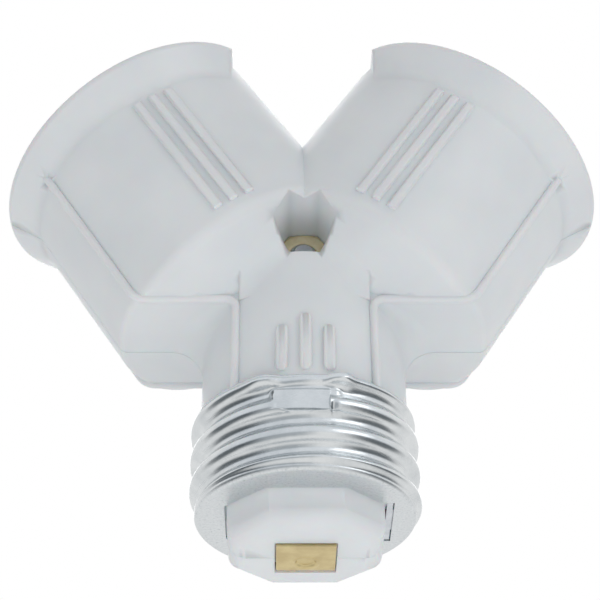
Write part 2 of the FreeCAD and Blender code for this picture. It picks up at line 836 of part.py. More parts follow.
def live_strip():
    """The strip that joins the base contact to the two contact leaves."""
    middle = under_floor + live_thickness / 2
    outer = cup_point(1, middle, live_foot_outer)
    inner = cup_point(1, middle, live_foot_inner)
    base_z = stem_top_z + live_thickness / 2
    strip = bent_strip(
        [(-outer.x, outer.z, 0), (-inner.x, inner.z, 0.9), (-live_base_half_x, base_z, 1.5),
         (live_base_half_x, base_z, 1.5), (inner.x, inner.z, 0.9), (outer.x, outer.z, 0)],
        live_thickness,
        lambda p: Vector(p.x, live_half_width, p.y),
        Vector(0, -2 * live_half_width, 0),
    )
    for side in SIDES.values():
        hole = cup_cylinder(side, rivet_radius + rivet_gap, middle - 1, middle + 1, leaf_rivet_out)
        strip = strip.cut(hole)
    hole = Part.makeCylinder(rivet_radius + rivet_gap, 2, Vector(0, 0, base_z - 1))
    return strip.cut(hole)


def base_contact():
    """The contact plate under the nose and its stem, one strip bent up and over."""
    half = stem_thickness / 2
    strip = bent_strip(
        [(-pad_half_y, pad_face_z + half, 0), (stem_y, pad_face_z + half, stem_bend),
         (stem_y, stem_top_z - half, stem_bend), (-live_half_width, stem_top_z - half, 0)],
        stem_thickness,
        lambda p: Vector(pad_half_x, p.x, p.y),
        Vector(-2 * pad_half_x, 0, 0),
    )
    ball = (dimple_radius ** 2 + dimple_depth ** 2) / (2 * dimple_depth)
    dent = Part.makeSphere(ball, Vector(0, dimple_y, pad_face_z + dimple_depth - ball))
    hole = Part.makeCylinder(rivet_radius + rivet_gap, 2, Vector(0, 0, stem_top_z - 1.5))
    return strip.cut(dent).cut(hole)


def stem_rivet():
    """Joins the base contact to the live strip."""
    head_top = stem_top_z - stem_thickness
    tail_top = stem_top_z + live_thickness + rivet_tail_height
    up = Vector(0, 0, head_top - rivet_head_height)
    head = Part.makeCylinder(rivet_head_radius, rivet_head_height, up)
    shank = Part.makeCylinder(rivet_radius, tail_top - head_top, Vector(0, 0, head_top - 0.1))
    tail = Part.makeCylinder(rivet_tail_radius, rivet_tail_height,
                             Vector(0, 0, tail_top - rivet_tail_height))
    return head.fuse(shank).fuse(tail).removeSplitter()


def neutral_strip():
    """The strip from the screw shell up the neck and out to both liner tongues."""
    half = neutral_thickness / 2
    foot_z = ring_thickness + half
    width = neutral_leg_half_width
    leg = bent_strip(
        [(leg_x + half + neutral_foot_length, foot_z, 0), (leg_x, foot_z, 0.5),
         (leg_x, neutral_jog_low_z, 1.0), (neutral_upper_x, neutral_jog_high_z, 1.0),
         (neutral_upper_x, neutral_wing_high_z, 0)],
        neutral_thickness,
        lambda p: Vector(p.x, width, p.y),
        Vector(0, -2 * width, 0),
    )
    face_x = neutral_upper_x + half
    plate_back = neutral_plate_y + neutral_thickness
    wing = block(neutral_upper_x - half, face_x, -width, plate_back,
                 neutral_wing_low_z, neutral_wing_high_z)
    tab_from = under_floor + tongue_foot_drop + liner_sheet
    tab_middle = tab_from + neutral_thickness / 2
    near = cup_point(1, tab_middle, neutral_tab_inner)
    away = cup_point(1, tab_middle, neutral_tab_outer)
    band_top = neutral_band_z + neutral_band_height
    outline = [
        (face_x, neutral_wing_low_z), (face_x, neutral_riser_foot_z),
        (away.x, neutral_riser_foot_z), (away.x, away.z), (near.x, near.z),
        (near.x, band_top), (-near.x, band_top), (-near.x, near.z), (-away.x, away.z),
        (-away.x, neutral_riser_foot_z), (-face_x, neutral_riser_foot_z),
        (-face_x, neutral_band_z), (face_x - 3, neutral_band_z), (face_x - 3, neutral_wing_low_z),
    ]
    points = [Vector(x, neutral_plate_y, z) for x, z in outline]
    plate = Part.Face(Part.makePolygon(points + [points[0]])).extrude(
        Vector(0, neutral_thickness, 0))
    strip = leg.fuse(wing).fuse(plate)
    for side in SIDES.values():
        tab = cup_block(side, tab_from, tab_from + neutral_thickness, neutral_tab_inner,
                        neutral_tab_outer, -neutral_plate_y, -neutral_tab_end_y)
        hole = cup_cylinder(side, rivet_radius + rivet_gap, tab_from - 1, tab_from + 1.5,
                            tongue_out, -neutral_rivet_y)
        strip = strip.fuse(tab).cut(hole)
    return strip.removeSplitter()


def clamp_screw():
    """A slotted pan-head screw from the back, its end just past the nut."""
    end_y = nut_seat_y - nut_thickness - screw_past_nut
    shank = along_y(clamp_screw_radius, end_y, screw_head_seat_y + 0.5)
    shank = shank.makeChamfer(0.3, [e for e in shank.Edges if abs(middle_of(e).y - end_y) < 1e-6])
    head = along_y(screw_head_radius, screw_head_seat_y, screw_head_seat_y + screw_head_height)
    top_y = screw_head_seat_y + screw_head_height
    head = soften(head, screw_head_height * 0.4, lambda edge: abs(middle_of(edge).y - top_y) < 1e-6)
    slot = block(-far, far, top_y - screw_slot_depth, far,
                 clamp_z - screw_slot_width / 2, clamp_z + screw_slot_width / 2)
    return shank.fuse(head).cut(slot)


def clamp_nut():
    """A hexagon nut with its outer corners turned down."""
    y0, y1 = nut_seat_y - nut_thickness, nut_seat_y
    nut = hexagon(nut_across_flats / 2, y0, y1).cut(along_y(clamp_screw_radius, -far, far))
    reach = nut_across_flats / 2 / math.cos(math.pi / 6)
    edge = [Vector(0, y0 - 0.01, clamp_z), Vector(nut_across_flats / 2 * 0.98, y0 - 0.01, clamp_z),
            Vector(reach + 0.3, y0 + 0.5, clamp_z), Vector(reach + 0.3, y1 + 0.01, clamp_z),
            Vector(0, y1 + 0.01, clamp_z)]
    turned_down = Part.Face(Part.makePolygon(edge + [edge[0]])).revolve(
        Vector(0, 0, clamp_z), Vector(0, 1, 0), 360)
    return nut.common(turned_down)


def all_pieces():
    pieces = dict(half_shells())
    pieces["base_screw_shell"] = base_screw_shell()
    pieces["base_contact"] = base_contact()
    pieces["stem_rivet"] = stem_rivet()
    pieces["live_strip"] = live_strip()
    pieces["neutral_strip"] = neutral_strip()
    pieces["clamp_screw"] = clamp_screw()
    pieces["clamp_nut"] = clamp_nut()
    tab_to = under_floor + tongue_foot_drop + liner_sheet + neutral_thickness
    for name, side in SIDES.items():
        pieces[f"socket_liner_{name}"] = socket_liner(side)
        pieces[f"contact_leaf_{name}"] = contact_leaf(side)
        pieces[f"contact_button_{name}"] = contact_button(side)
        leaf_top = floor_depth - leaf_thickness
        pieces[f"live_rivet_{name}"] = rivet(
            side, leaf_rivet_out, 0, leaf_top - rivet_head_height, leaf_top,
            under_floor + live_thickness + rivet_tail_height)
        foot_top = under_floor + tongue_foot_drop
        pieces[f"neutral_rivet_{name}"] = rivet(
            side, tongue_out, -neutral_rivet_y, foot_top - rivet_head_height, foot_top,
            tab_to + rivet_tail_height)
    return pieces


if __name__ == "__main__":
    os.makedirs("parts", exist_ok=True)
    for name, piece in all_pieces().items():
        solids = piece.Solids
        if len(solids) != 1 or not piece.isValid():
            print(name, "solids:", len(solids), "valid:", piece.isValid())
        solids[0].exportStep(f"parts/{name}.step")
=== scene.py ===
# %% [markdown]
# # A two-way lamp socket adapter
# A screw base below and two lamp sockets above, like a Y. The body is two moulded halves of white
# plastic, the base is a rolled and nickel-plated shell, and a brass plate sits under the nose.
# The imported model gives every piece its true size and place, so it is loaded first and the new
# surfaces are worked out around it.

import bmesh
import bpy
import json
import math
import numpy as np
from mathutils import Matrix, Vector


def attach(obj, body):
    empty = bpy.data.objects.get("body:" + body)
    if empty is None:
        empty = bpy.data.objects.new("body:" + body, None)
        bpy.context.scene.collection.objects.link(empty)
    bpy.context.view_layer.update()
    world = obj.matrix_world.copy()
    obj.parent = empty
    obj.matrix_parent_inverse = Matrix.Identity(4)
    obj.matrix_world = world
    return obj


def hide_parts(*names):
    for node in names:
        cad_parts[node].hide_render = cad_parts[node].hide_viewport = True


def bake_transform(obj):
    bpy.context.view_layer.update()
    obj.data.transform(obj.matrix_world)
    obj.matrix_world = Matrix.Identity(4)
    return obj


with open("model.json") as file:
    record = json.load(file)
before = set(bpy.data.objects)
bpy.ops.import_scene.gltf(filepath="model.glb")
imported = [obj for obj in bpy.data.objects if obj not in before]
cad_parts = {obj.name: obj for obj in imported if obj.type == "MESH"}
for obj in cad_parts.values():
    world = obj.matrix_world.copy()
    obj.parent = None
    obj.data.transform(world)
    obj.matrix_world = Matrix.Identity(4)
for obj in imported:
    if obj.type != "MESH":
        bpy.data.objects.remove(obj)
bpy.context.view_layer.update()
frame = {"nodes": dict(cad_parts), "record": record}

# %% [markdown]
# ## Colours and nodes
# A colour is easiest to pick as the hex value that a paint program shows. Blender's shaders count
# in linear light, so one function turns one into the other. A second one adds a node to a
# material, sets its inputs and links it, which keeps each material short enough to read.

# %% Colour and node helpers
MM = 0.001


def linear(hex_colour, alpha=1.0):
    """sRGB hex to linear: below 0.04045 a straight line, above it a power of 2.4."""
    channels = [int(hex_colour[i:i + 2], 16) / 255 for i in (1, 3, 5)]
    return tuple(
        c / 12.92 if c <= 0.04045 else ((c + 0.055) / 1.055) ** 2.4 for c in channels
    ) + (alpha,)


def node(tree, kind, settings=None, inputs=None):
    """Adds one node. An input given as a node or a socket is linked, any other is a plain value."""
    made = tree.nodes.new(kind)
    for name, value in (settings or {}).items():
        setattr(made, name, value)
    for name, value in (inputs or {}).items():
        socket = next(s for s in made.inputs if s.name == name and s.enabled)
        if isinstance(value, bpy.types.Node):
            value = next(s for s in value.outputs if s.enabled)
        if isinstance(value, bpy.types.NodeSocket):
            tree.links.new(value, socket)
        else:
            socket.default_value = value
    return made


def new_material(name):
    """A material with an empty node tree."""
    material = bpy.data.materials.new(name)
    material.use_nodes = True
    material.node_tree.nodes.clear()
    return material, material.node_tree


def ramp(tree, factor, stops):
    """A colour ramp whose stops are (place, hex colour)."""
    made = node(tree, "ShaderNodeValToRGB", {}, {"Fac": factor})
    elements = made.color_ramp.elements
    while len(elements) < len(stops):
        elements.new(0.5)
    for element, (place, colour) in zip(elements, stops):
        element.position = place
        element.color = linear(colour)
    return made


# %% [markdown]
# ## White moulded plastic
# The body is injection-moulded thermoplastic, white with a slightly cool cast. A polished but worn
# mould leaves a satin skin: soft highlights, a very fine unevenness, and faint flow clouds. A
# little light goes into white plastic and comes out again, which lifts the shadows in the grooves.

# %% Material of the body
def satin_plastic(name, light, dark):
    """Injection-moulded plastic: flow clouds 9 mm wide and a skin about 0.12 mm in grain."""
    material, tree = new_material(name)
    place = node(tree, "ShaderNodeTexCoord").outputs["Object"]
    cloud = node(tree, "ShaderNodeTexNoise", {},
                 {"Vector": place, "Scale": 1 / (9 * MM), "Detail": 3.0, "Roughness": 0.45})
    # The real skin's grain is near 0.05 mm. It is drawn at 0.12 mm, the finest that shows.
    grain = node(tree, "ShaderNodeTexNoise", {},
                 {"Vector": place, "Scale": 1 / (0.12 * MM), "Detail": 2.0, "Roughness": 0.6})
    wave = node(tree, "ShaderNodeTexNoise", {},
                {"Vector": place, "Scale": 1 / (2.5 * MM), "Detail": 2.0, "Roughness": 0.5})
    rough = node(tree, "ShaderNodeMapRange", {},
                 {"Value": wave, "From Min": 0.3, "From Max": 0.7, "To Min": 0.36, "To Max": 0.44})
    fine = node(tree, "ShaderNodeBump", {},
                {"Height": grain, "Strength": 0.10, "Distance": 0.02 * MM})
    soft = node(tree, "ShaderNodeBump", {},
                {"Height": wave, "Strength": 0.25, "Distance": 0.03 * MM, "Normal": fine})
    skin = node(tree, "ShaderNodeBsdfPrincipled", {},
                {"Base Color": ramp(tree, cloud, [(0.3, dark), (0.7, light)]),
                 "Roughness": rough, "IOR": 1.49, "Subsurface Weight": 0.3,
                 "Subsurface Scale": 1.3 * MM, "Normal": soft})
    node(tree, "ShaderNodeOutputMaterial", {}, {"Surface": skin})
    return material


white_plastic = satin_plastic("white_injection_moulded_pbt", "#E3E6E8", "#DCE0E3")

# %% [markdown]
# ## Nickel plate on the base
# The base shell is thin sheet, rolled to its thread and plated with bright nickel. Plate this thin
# follows the sheet, so it keeps the fine lines that the rolling left round the shell. The flat
# ring at the end was pressed, not rolled, so it stays satin and speckled.

# %% Material of the screw shell
def rolled_nickel(name, colour, dull, ring_top_mm):
    """Bright plate with rolling lines 0.2 mm apart, and a satin ring below ring_top_mm."""
    material, tree = new_material(name)
    place = node(tree, "ShaderNodeTexCoord").outputs["Object"]
    height = node(tree, "ShaderNodeSeparateXYZ", {}, {"Vector": place}).outputs["Z"]
    on_ring = node(tree, "ShaderNodeMapRange", {},
                   {"Value": height, "From Min": ring_top_mm * MM,
                    "From Max": 0.2 * ring_top_mm * MM, "To Min": 0.0, "To Max": 1.0})
    drawn_out = node(tree, "ShaderNodeMapping", {}, {"Vector": place, "Scale": (0.05, 0.05, 1.0)})
    lines = node(tree, "ShaderNodeTexNoise", {},
                 {"Vector": drawn_out, "Scale": 1 / (0.2 * MM), "Detail": 4.0, "Roughness": 0.65})
    speckle = node(tree, "ShaderNodeTexNoise", {},
                   {"Vector": place, "Scale": 1 / (0.3 * MM), "Detail": 5.0, "Roughness": 0.7})
    stain = node(tree, "ShaderNodeTexNoise", {},
                 {"Vector": place, "Scale": 1 / (3.5 * MM), "Detail": 4.0, "Roughness": 0.6})
    bright = ramp(tree, stain, [(0.35, dull), (0.6, colour)])
    satin = ramp(tree, speckle, [(0.28, "#AEB3B6"), (0.40, "#DDE1E3"), (0.75, "#EEF1F2")])
    both = node(tree, "ShaderNodeMix", {"data_type": "RGBA"},
                {"Factor": on_ring, "A": bright, "B": satin})
    line_rough = node(tree, "ShaderNodeMapRange", {},
                      {"Value": lines, "From Min": 0.3, "From Max": 0.7, "To Min": 0.18,
                       "To Max": 0.30})
    rough = node(tree, "ShaderNodeMix", {"data_type": "FLOAT"},
                 {"Factor": on_ring, "A": line_rough, "B": 0.42})
    rolled = node(tree, "ShaderNodeBump", {},
                  {"Height": lines, "Strength": 0.12, "Distance": 0.02 * MM})
    pitted = node(tree, "ShaderNodeBump", {},
                  {"Height": speckle, "Strength": 0.2, "Distance": 0.03 * MM, "Normal": rolled})
    metal = node(tree, "ShaderNodeBsdfPrincipled", {},
                 {"Base Color": both, "Metallic": 1.0, "Roughness": rough, "Normal": pitted})
    node(tree, "ShaderNodeOutputMaterial", {}, {"Surface": metal})
    return material


nickel_shell = rolled_nickel("bright_nickel_plate_rolled", "#E2E5E6", "#D4D8DA", 0.5)


# %% [markdown]
# ## The other metals
# They are all strip or wire with a drawn or rolled grain, so one function makes them. What tells
# them apart is the colour, how dull they have gone, how coarse the grain is and which way it runs.
# Brass and bronze tarnish in clouds, plate only dulls a little. The nut's brass is painted much
# paler than brass, a painted lift against the shade in its deep pocket.

# %% Materials of strips, contacts and screw
def drawn_metal(name, colour, tarnish, grain_mm, along, rough_low, rough_high):
    """Drawn or rolled metal: grain_mm apart, drawn out along one axis, clouded with tarnish."""
    material, tree = new_material(name)
    place = node(tree, "ShaderNodeTexCoord").outputs["Object"]
    stretch = [0.04 if axis == along else 1.0 for axis in "XYZ"]
    drawn_out = node(tree, "ShaderNodeMapping", {}, {"Vector": place, "Scale": stretch})
    grain = node(tree, "ShaderNodeTexNoise", {},
                 {"Vector": drawn_out, "Scale": 1 / (grain_mm * MM), "Detail": 4.0,
                  "Roughness": 0.65})
    cloud = node(tree, "ShaderNodeTexNoise", {},
                 {"Vector": place, "Scale": 1 / (2.2 * MM), "Detail": 5.0, "Roughness": 0.6})
    rough = node(tree, "ShaderNodeMapRange", {},
                 {"Value": grain, "From Min": 0.3, "From Max": 0.7, "To Min": rough_low,
                  "To Max": rough_high})
    lines = node(tree, "ShaderNodeBump", {},
                 {"Height": grain, "Strength": 0.2, "Distance": 0.02 * MM})
    metal = node(tree, "ShaderNodeBsdfPrincipled", {},
                 {"Base Color": ramp(tree, cloud, [(0.38, tarnish), (0.62, colour)]),
                  "Metallic": 1.0, "Roughness": rough, "Normal": lines})
    node(tree, "ShaderNodeOutputMaterial", {}, {"Surface": metal})
    return material


pressed_brass = drawn_metal("pressed_brass", "#DCCB9A", "#CDBA8A", 0.15, "X", 0.30, 0.44)
# The nut's colour is painted far paler than brass. It stands in for light that the deep hex pocket
# keeps from the nut.
nut_brass_painted_light = drawn_metal("nut_brass_painted_paler", "#FFF3D0", "#F5E4BC", 0.12, "Z", 0.45, 0.6)
spring_bronze = drawn_metal("phosphor_bronze_spring", "#CFA375", "#B98A5C", 0.12, "Y", 0.22, 0.36)
nickel_liner = drawn_metal("nickel_plate_on_liner", "#D6D5D1", "#C4C3BF", 0.2, "Z", 0.18, 0.3)
nickel_strip = drawn_metal("dull_nickel_plate_strip", "#DEE2E6", "#CDD2D7", 0.15, "Z", 0.3, 0.45)
zinc_screw = drawn_metal("zinc_plated_steel", "#C7CBCE", "#AEB3B8", 0.1, "Y", 0.25, 0.4)

# %% [markdown]
# ## Surfaces on a grid
# Nearly every new piece is a grid of points: rows along a section, columns round an axis or along
# a path. The points are worked out as whole arrays, the faces join neighbours, and where a row
# closes on itself the last column joins the first. Points that fall together at a pole are merged.

# %% Helpers for grids
def grid_faces(rows, columns, wrap_rows, wrap_columns):
    """Four corner numbers for each cell of a grid, wrapping round where asked."""
    row, column = np.meshgrid(np.arange(rows if wrap_rows else rows - 1),
                              np.arange(columns if wrap_columns else columns - 1), indexing="ij")
    below, beside = (row + 1) % rows, (column + 1) % columns
    corners = [row * columns + column, row * columns + beside,
               below * columns + beside, below * columns + column]
    return np.stack(corners, axis=-1).reshape(-1, 4)


def dress(name, mesh, material, stands_for=(), body="body", sharp=35):
    """Makes the mesh a smooth piece with creases over sharp degrees, on a body and in a slot."""
    mesh.name = name
    mesh.materials.clear()
    mesh.materials.append(material)
    mesh.polygons.foreach_set("use_smooth", np.ones(len(mesh.polygons), bool))
    mesh.set_sharp_from_angle(angle=math.radians(sharp))
    piece = bpy.data.objects.new(name, mesh)
    bpy.context.scene.collection.objects.link(piece)
    if body:
        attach(piece, body)
    if stands_for:
        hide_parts(*stands_for)
    print(name, len(mesh.polygons), "faces")
    return piece


def grid_piece(name, sheets, material, stands_for=(), body="body", sharp=35):
    """One piece from sheets of (points in mm, wrap_rows, wrap_columns), merged and facing out."""
    points, faces, start = [], [], 0
    for grid, wrap_rows, wrap_columns in sheets:
        rows, columns = grid.shape[:2]
        points.append(grid.reshape(-1, 3) * MM)
        faces.append(grid_faces(rows, columns, wrap_rows, wrap_columns) + start)
        start += rows * columns
    mesh = bpy.data.meshes.new(name)
    mesh.from_pydata(np.concatenate(points).tolist(), [], np.concatenate(faces).tolist())
    shape = bmesh.new()
    shape.from_mesh(mesh)
    bmesh.ops.remove_doubles(shape, verts=shape.verts, dist=0.0005 * MM)
    bmesh.ops.recalc_face_normals(shape, faces=shape.faces)
    shape.to_mesh(mesh)
    shape.free()
    return dress(name, mesh, material, stands_for, body, sharp)


def unit(vector):
    """The vector's direction, one long."""
    return vector / np.linalg.norm(vector)


def rounded(corners, steps=5):
    """A line of straight runs with an arc of the stated radius at each (a, b, radius)."""
    corners = np.array(corners, float)
    line = [corners[0, :2]]
    for before, here, after in zip(corners[:-2], corners[1:-1], corners[2:]):
        at, radius = here[:2], here[2]
        if radius <= 0:
            line.append(at)
            continue
        back, ahead = unit(before[:2] - at), unit(after[:2] - at)
        half = np.arccos(np.clip(back @ ahead, -1, 1)) / 2
        centre = at + unit(back + ahead) * radius / np.sin(half)
        first, last = at + (back * radius / np.tan(half)), at + (ahead * radius / np.tan(half))
        start, stop = np.arctan2(*(first - centre)[::-1]), np.arctan2(*(last - centre)[::-1])
        turn = (stop - start + np.pi) % (2 * np.pi) - np.pi
        angles = start + turn * np.linspace(0, 1, steps + 1)
        line += list(centre + radius * np.stack([np.cos(angles), np.sin(angles)], axis=1))
    return np.array(line + [corners[-1, :2]])


def smooth_step(value, low, high):
    """Zero below low, one above high, 3t^2 - 2t^3 in between."""
    t = np.clip((value - low) / (high - low), 0, 1)
    return t * t * (3 - 2 * t)


# %% [markdown]
# ## The two half shells
# The body's halves are the largest pieces, and the CAD solids already have their true form, with
# the ribs, beads and roundings. Their triangles are loose, so each shows flat. A merged copy can
# be shaded smooth across a curve and creased at an edge. Long thin triangles on the neck and the
# cups would still show as streaks, so there each corner gets the exact direction away from the
# axis of its barrel. The record's mounts say where each socket's axis runs. Where the halves meet,
# each one stands back 0.04 mm from the middle plane, which leaves the fine parting line that two
# moulded halves always show.

# %% Helpers for the half shells
PARTING_MM = 0.04


def merged_copy(node_name):
    """A CAD node's mesh with the corners of its loose triangles joined."""
    mesh = frame["nodes"][node_name].data.copy()
    shape = bmesh.new()
    shape.from_mesh(mesh)
    bmesh.ops.remove_doubles(shape, verts=shape.verts, dist=0.0004 * MM)
    shape.to_mesh(mesh)
    shape.free()
    return mesh


def stand_back(mesh, distance):
    """Moves the points on the plane Y = 0 to Y = distance, in metres."""
    points = np.empty(len(mesh.vertices) * 3)
    mesh.vertices.foreach_get("co", points)
    points = points.reshape(-1, 3)
    points[np.abs(points[:, 1]) < 0.002 * MM, 1] = distance
    mesh.vertices.foreach_set("co", points.ravel())
    mesh.update()


def as_rows(source, field, width=3):
    """A value of each corner, point or face as an array with a row for each."""
    values = np.empty(len(source) * width, np.int32 if width == 1 else np.float64)
    source.foreach_get(field, values)
    return values if width == 1 else values.reshape(-1, width)


def even_shading(piece, barrels):
    """Corner normals weighted by face area, and straight out from the axis on each barrel.

    A barrel is (a point on its axis, the axis, its radius). A corner that lies on one, in a face
    that looks straight away from the axis or towards it, points so: p - (p . axis) axis, one long.
    """
    weighted = piece.modifiers.new("even shading", "WEIGHTED_NORMAL")
    weighted.keep_sharp = True
    shaded = piece.evaluated_get(bpy.context.evaluated_depsgraph_get()).to_mesh()
    normals = as_rows(shaded.corner_normals, "vector")
    piece.to_mesh_clear()
    piece.modifiers.remove(weighted)
    mesh = piece.data
    at = as_rows(mesh.vertices, "co")[as_rows(mesh.loops, "vertex_index", 1)]
    sides = as_rows(mesh.polygons, "loop_total", 1)
    faces = np.repeat(as_rows(mesh.polygons, "normal"), sides, axis=0)
    for start, axis, radius in barrels:
        off = at - np.array(start)
        off -= (off @ axis)[:, None] * axis
        reach = np.linalg.norm(off, axis=1)
        out = off / np.maximum(reach, 1e-9)[:, None]
        facing = np.sum(out * faces, axis=1)
        on = (np.abs(reach - radius) < 0.01 * MM) & (np.abs(facing) > 0.985)
        normals[on] = (out * np.sign(facing)[:, None])[on]
    mesh.normals_split_custom_set(normals.tolist())


# %% Half shells
mounts = {mount["name"]: mount for mount in frame["record"]["mounts"]}
SIDES = {"left": -1, "right": 1}
NECK, CUP, RIM_BAND, COLLAR, BORE_WALL = 12.0, 17.0, 19.1, 14.0, 14.8  # radii of the barrels
barrels = [((0, 0, 0), np.array([0.0, 0.0, 1.0]), NECK * MM)]
for name in SIDES:
    mount = mounts["socket_" + name]
    barrels += [(mount["pos_m"], np.array(mount["axis"]), radius * MM)
                for radius in (CUP, RIM_BAND, COLLAR, BORE_WALL)]

for name, sense in (("front_shell", -1), ("rear_shell", 1)):
    mesh = merged_copy(name)
    stand_back(mesh, sense * PARTING_MM * MM)
    half = dress("moulded_" + name, mesh, white_plastic, [name], sharp=28)
    even_shading(half, barrels)

# %% [markdown]
# ## The rolled screw shell
# A lamp base's shell starts as a drawn cup of thin sheet. Rollers press the round thread into it
# from both sides, so the inner face follows the outer one. Its bottom is left as a flat ring with
# an eight-sided hole for the nose. Last, one spot of the front is pressed flat, which locks the
# shell to the plastic and leaves the rim above it crushed. The section is worked out for each
# angle: ring, corner, thread, rim and back down inside, so the whole shell is one closed grid.

# %% Thread and section of the shell
PITCH = 3.629
CREST, ROOT, FIRST_CREST = 13.15, 12.05, 0.72  # two radii, and the height at the front
# Two equal arcs that meet smoothly, a quarter pitch from crest and root, have this radius.
ARC = ((PITCH / 2) ** 2 + (CREST - ROOT) ** 2) / (4 * (CREST - ROOT))
SHEET = 0.3  # thickness of the rolled sheet
RING_EDGE, CORNER, RING = 12.5, 0.5, 0.35  # the ring's radius, rounding and thickness
THREAD_RUN_IN, RIM_RUN_OUT = 0.8, 0.9  # heights over which the thread comes and goes
SHELL_TOP, RIM = 11.85, 12.85  # height and radius of the rim


def arc_drop(away):
    """How far an arc of the thread has fallen away from its top: R - sqrt(R^2 - away^2)."""
    return ARC - np.sqrt(np.maximum(ARC ** 2 - away ** 2, 0))


def thread_share(turns):
    """Height of the thread from 0 at a root to 1 at a crest, where turns is a whole number."""
    away = np.abs(turns - np.round(turns)) * PITCH
    deep = CREST - ROOT
    return np.where(away < PITCH / 4, 1 - arc_drop(away) / deep, arc_drop(PITCH / 2 - away) / deep)


def thread_radius(angle, z):
    """Round crests and round roots on a right-hand helix, flat at the ring and at the rim."""
    turns = (z - FIRST_CREST) / PITCH - (angle + np.pi / 2) / (2 * np.pi)
    full = ROOT + (CREST - ROOT) * thread_share(turns)
    radius = RING_EDGE + (full - RING_EDGE) * smooth_step(z, CORNER, CORNER + THREAD_RUN_IN)
    return radius + (RIM - radius) * smooth_step(z, SHELL_TOP - RIM_RUN_OUT, SHELL_TOP)


# %% The spot that was pressed flat
PRESS_FACE = 12.4  # how far in front of the axis the flat lies
PRESS_LEFT, PRESS_RIGHT, PRESS_LOW, PRESS_HIGH = -4.1, 2.5, 7.3, 9.75  # its four edges
SCORED = 7.27  # height of the scored line


def window(value, rise, fall):
    """One between rise and fall, each a (from, to) over which it comes and goes smoothly."""
    return smooth_step(value, *rise) * (1 - smooth_step(value, *fall))


def hump(value, middle, width):
    """A bell curve, one at the middle: exp(-((value - middle) / width)^2)."""
    return np.exp(-((value - middle) / width) ** 2)


def pressed(radius, angle, z, face_y):
    """Sets the surface to the plane Y = -face_y, where a square tool has hit the shell.

    The tool's lower and right edges cut in sharply, the other two faded out into the sheet. It
    took the foot of the crest below with it, down to the root, and left a scored line between. The
    metal beside the right edge was pushed up above the flat and in below it, and the rim is in
    above the flat and swells out on both sides.
    """
    x = radius * np.cos(angle)
    front = np.sin(angle) < -0.5
    flat = face_y / np.maximum(-np.sin(angle), 0.5)
    inside = window(z, (PRESS_LOW, PRESS_LOW + 0.12), (PRESS_HIGH, PRESS_HIGH + 0.6)) * front
    inside = inside * window(x, (PRESS_LEFT, PRESS_LEFT + 0.9), (PRESS_RIGHT, PRESS_RIGHT + 0.14))
    foot = window(z, (5.6, 6.0), (PRESS_LOW, PRESS_LOW + 0.06)) * front
    foot = foot * window(x, (-3.1, -2.2), (3.3, 4.1))
    radius = radius - np.maximum(radius - flat - 0.1, 0) * foot
    rim_moves = 0.35 * hump(x, -5.2, 1.5) + 0.5 * hump(x, 4.2, 1.1)
    rim_moves = rim_moves - 0.5 * window(x, (-4.4, -2.4), (1.8, 3.2))
    bulge = 0.3 * hump(x, 3.3, 0.5) * hump(z, 9.9, 0.45)
    dent = 0.3 * hump(x, 3.0, 0.3) * hump(z, 7.6, 0.5)
    moved = (rim_moves * smooth_step(z, 10.0, 11.2) + bulge - dent) * front
    return radius + (flat - radius) * inside + moved - 0.12 * hump(z, SCORED, 0.07) * foot


# %% The opening in the end ring
HOLE_X, HOLE_Y = 9.0, 8.2  # half the eight-sided hole
SLANT_X, SLANT_Y = 4.4, 3.9  # a slanted side runs from (HOLE_X, SLANT_Y) to (SLANT_X, HOLE_Y)
NOTCH_X, NOTCH_Y = 9.75, 4.6  # how far the notch reaches to the right, and half its width
NOTCH_MEETS_SLANT = 8.2515  # where Y = NOTCH_Y crosses the slanted side


def opening_radius(angle):
    """Polar radius of the eight-sided hole, or of its notch where that reaches further."""
    cos, sin = np.cos(angle), np.sin(angle)
    across, along = np.maximum(np.abs(cos), 1e-9), np.maximum(np.abs(sin), 1e-9)
    # The line through a slanted side is x / a + y / b = 1.
    steep = (HOLE_Y - SLANT_Y) / (HOLE_X - SLANT_X)
    a = HOLE_X + SLANT_Y / steep
    b = a * steep
    hole = np.minimum(np.minimum(HOLE_X / across, HOLE_Y / along), 1 / (across / a + along / b))
    notch = np.where(cos > 0, np.minimum(NOTCH_X / across, NOTCH_Y / along), 0)
    return np.maximum(hole, notch)


# %% Angles and rows of the shell
# One angle a degree, one at each corner of the opening, and close ones at the flat's right edge.
corner_points = np.array([(HOLE_X, SLANT_Y), (SLANT_X, HOLE_Y), (NOTCH_X, NOTCH_Y),
                          (NOTCH_MEETS_SLANT, NOTCH_Y)])
corner_angles = np.arctan2(corner_points[:, 1], corner_points[:, 0])
special = np.concatenate([corner_angles, -corner_angles, np.pi - corner_angles[:2],
                          corner_angles[:2] - np.pi])
press_edge = np.arctan2(-12.6, np.linspace(2.4, 2.8, 9))
angles = np.unique(np.round(np.concatenate([np.arange(-180, 180) * np.pi / 180 + 1e-4,
                                            special, press_edge]), 7))[None, :]
full_row = np.ones_like(angles)
# 120 even rows outside, and close ones at the scored line and the flat's lower edge.
edge_rows = [7.16, 7.2, 7.24, 7.28, 7.3, 7.34, 7.38, 7.42, 7.44]
z_out = np.unique(np.concatenate([np.linspace(CORNER, SHELL_TOP - 0.1, 120), edge_rows]))[:, None]
z_in = np.linspace(SHELL_TOP - 0.15, RING + 0.4, 60)[:, None]

# %% Screw shell
ring_out = np.linspace(0, 1, 12)[:, None]
open_at = opening_radius(angles)
flat_under = open_at + (RING_EDGE - CORNER - open_at) * ring_out
bend = np.linspace(0, np.pi / 2, 9)[1:-1, None]
radius_out = pressed(thread_radius(angles, z_out), angles, z_out, PRESS_FACE)
rim = np.linspace(0, np.pi, 7)[:, None]
rim_mid = radius_out[-1][None, :] - SHEET / 2
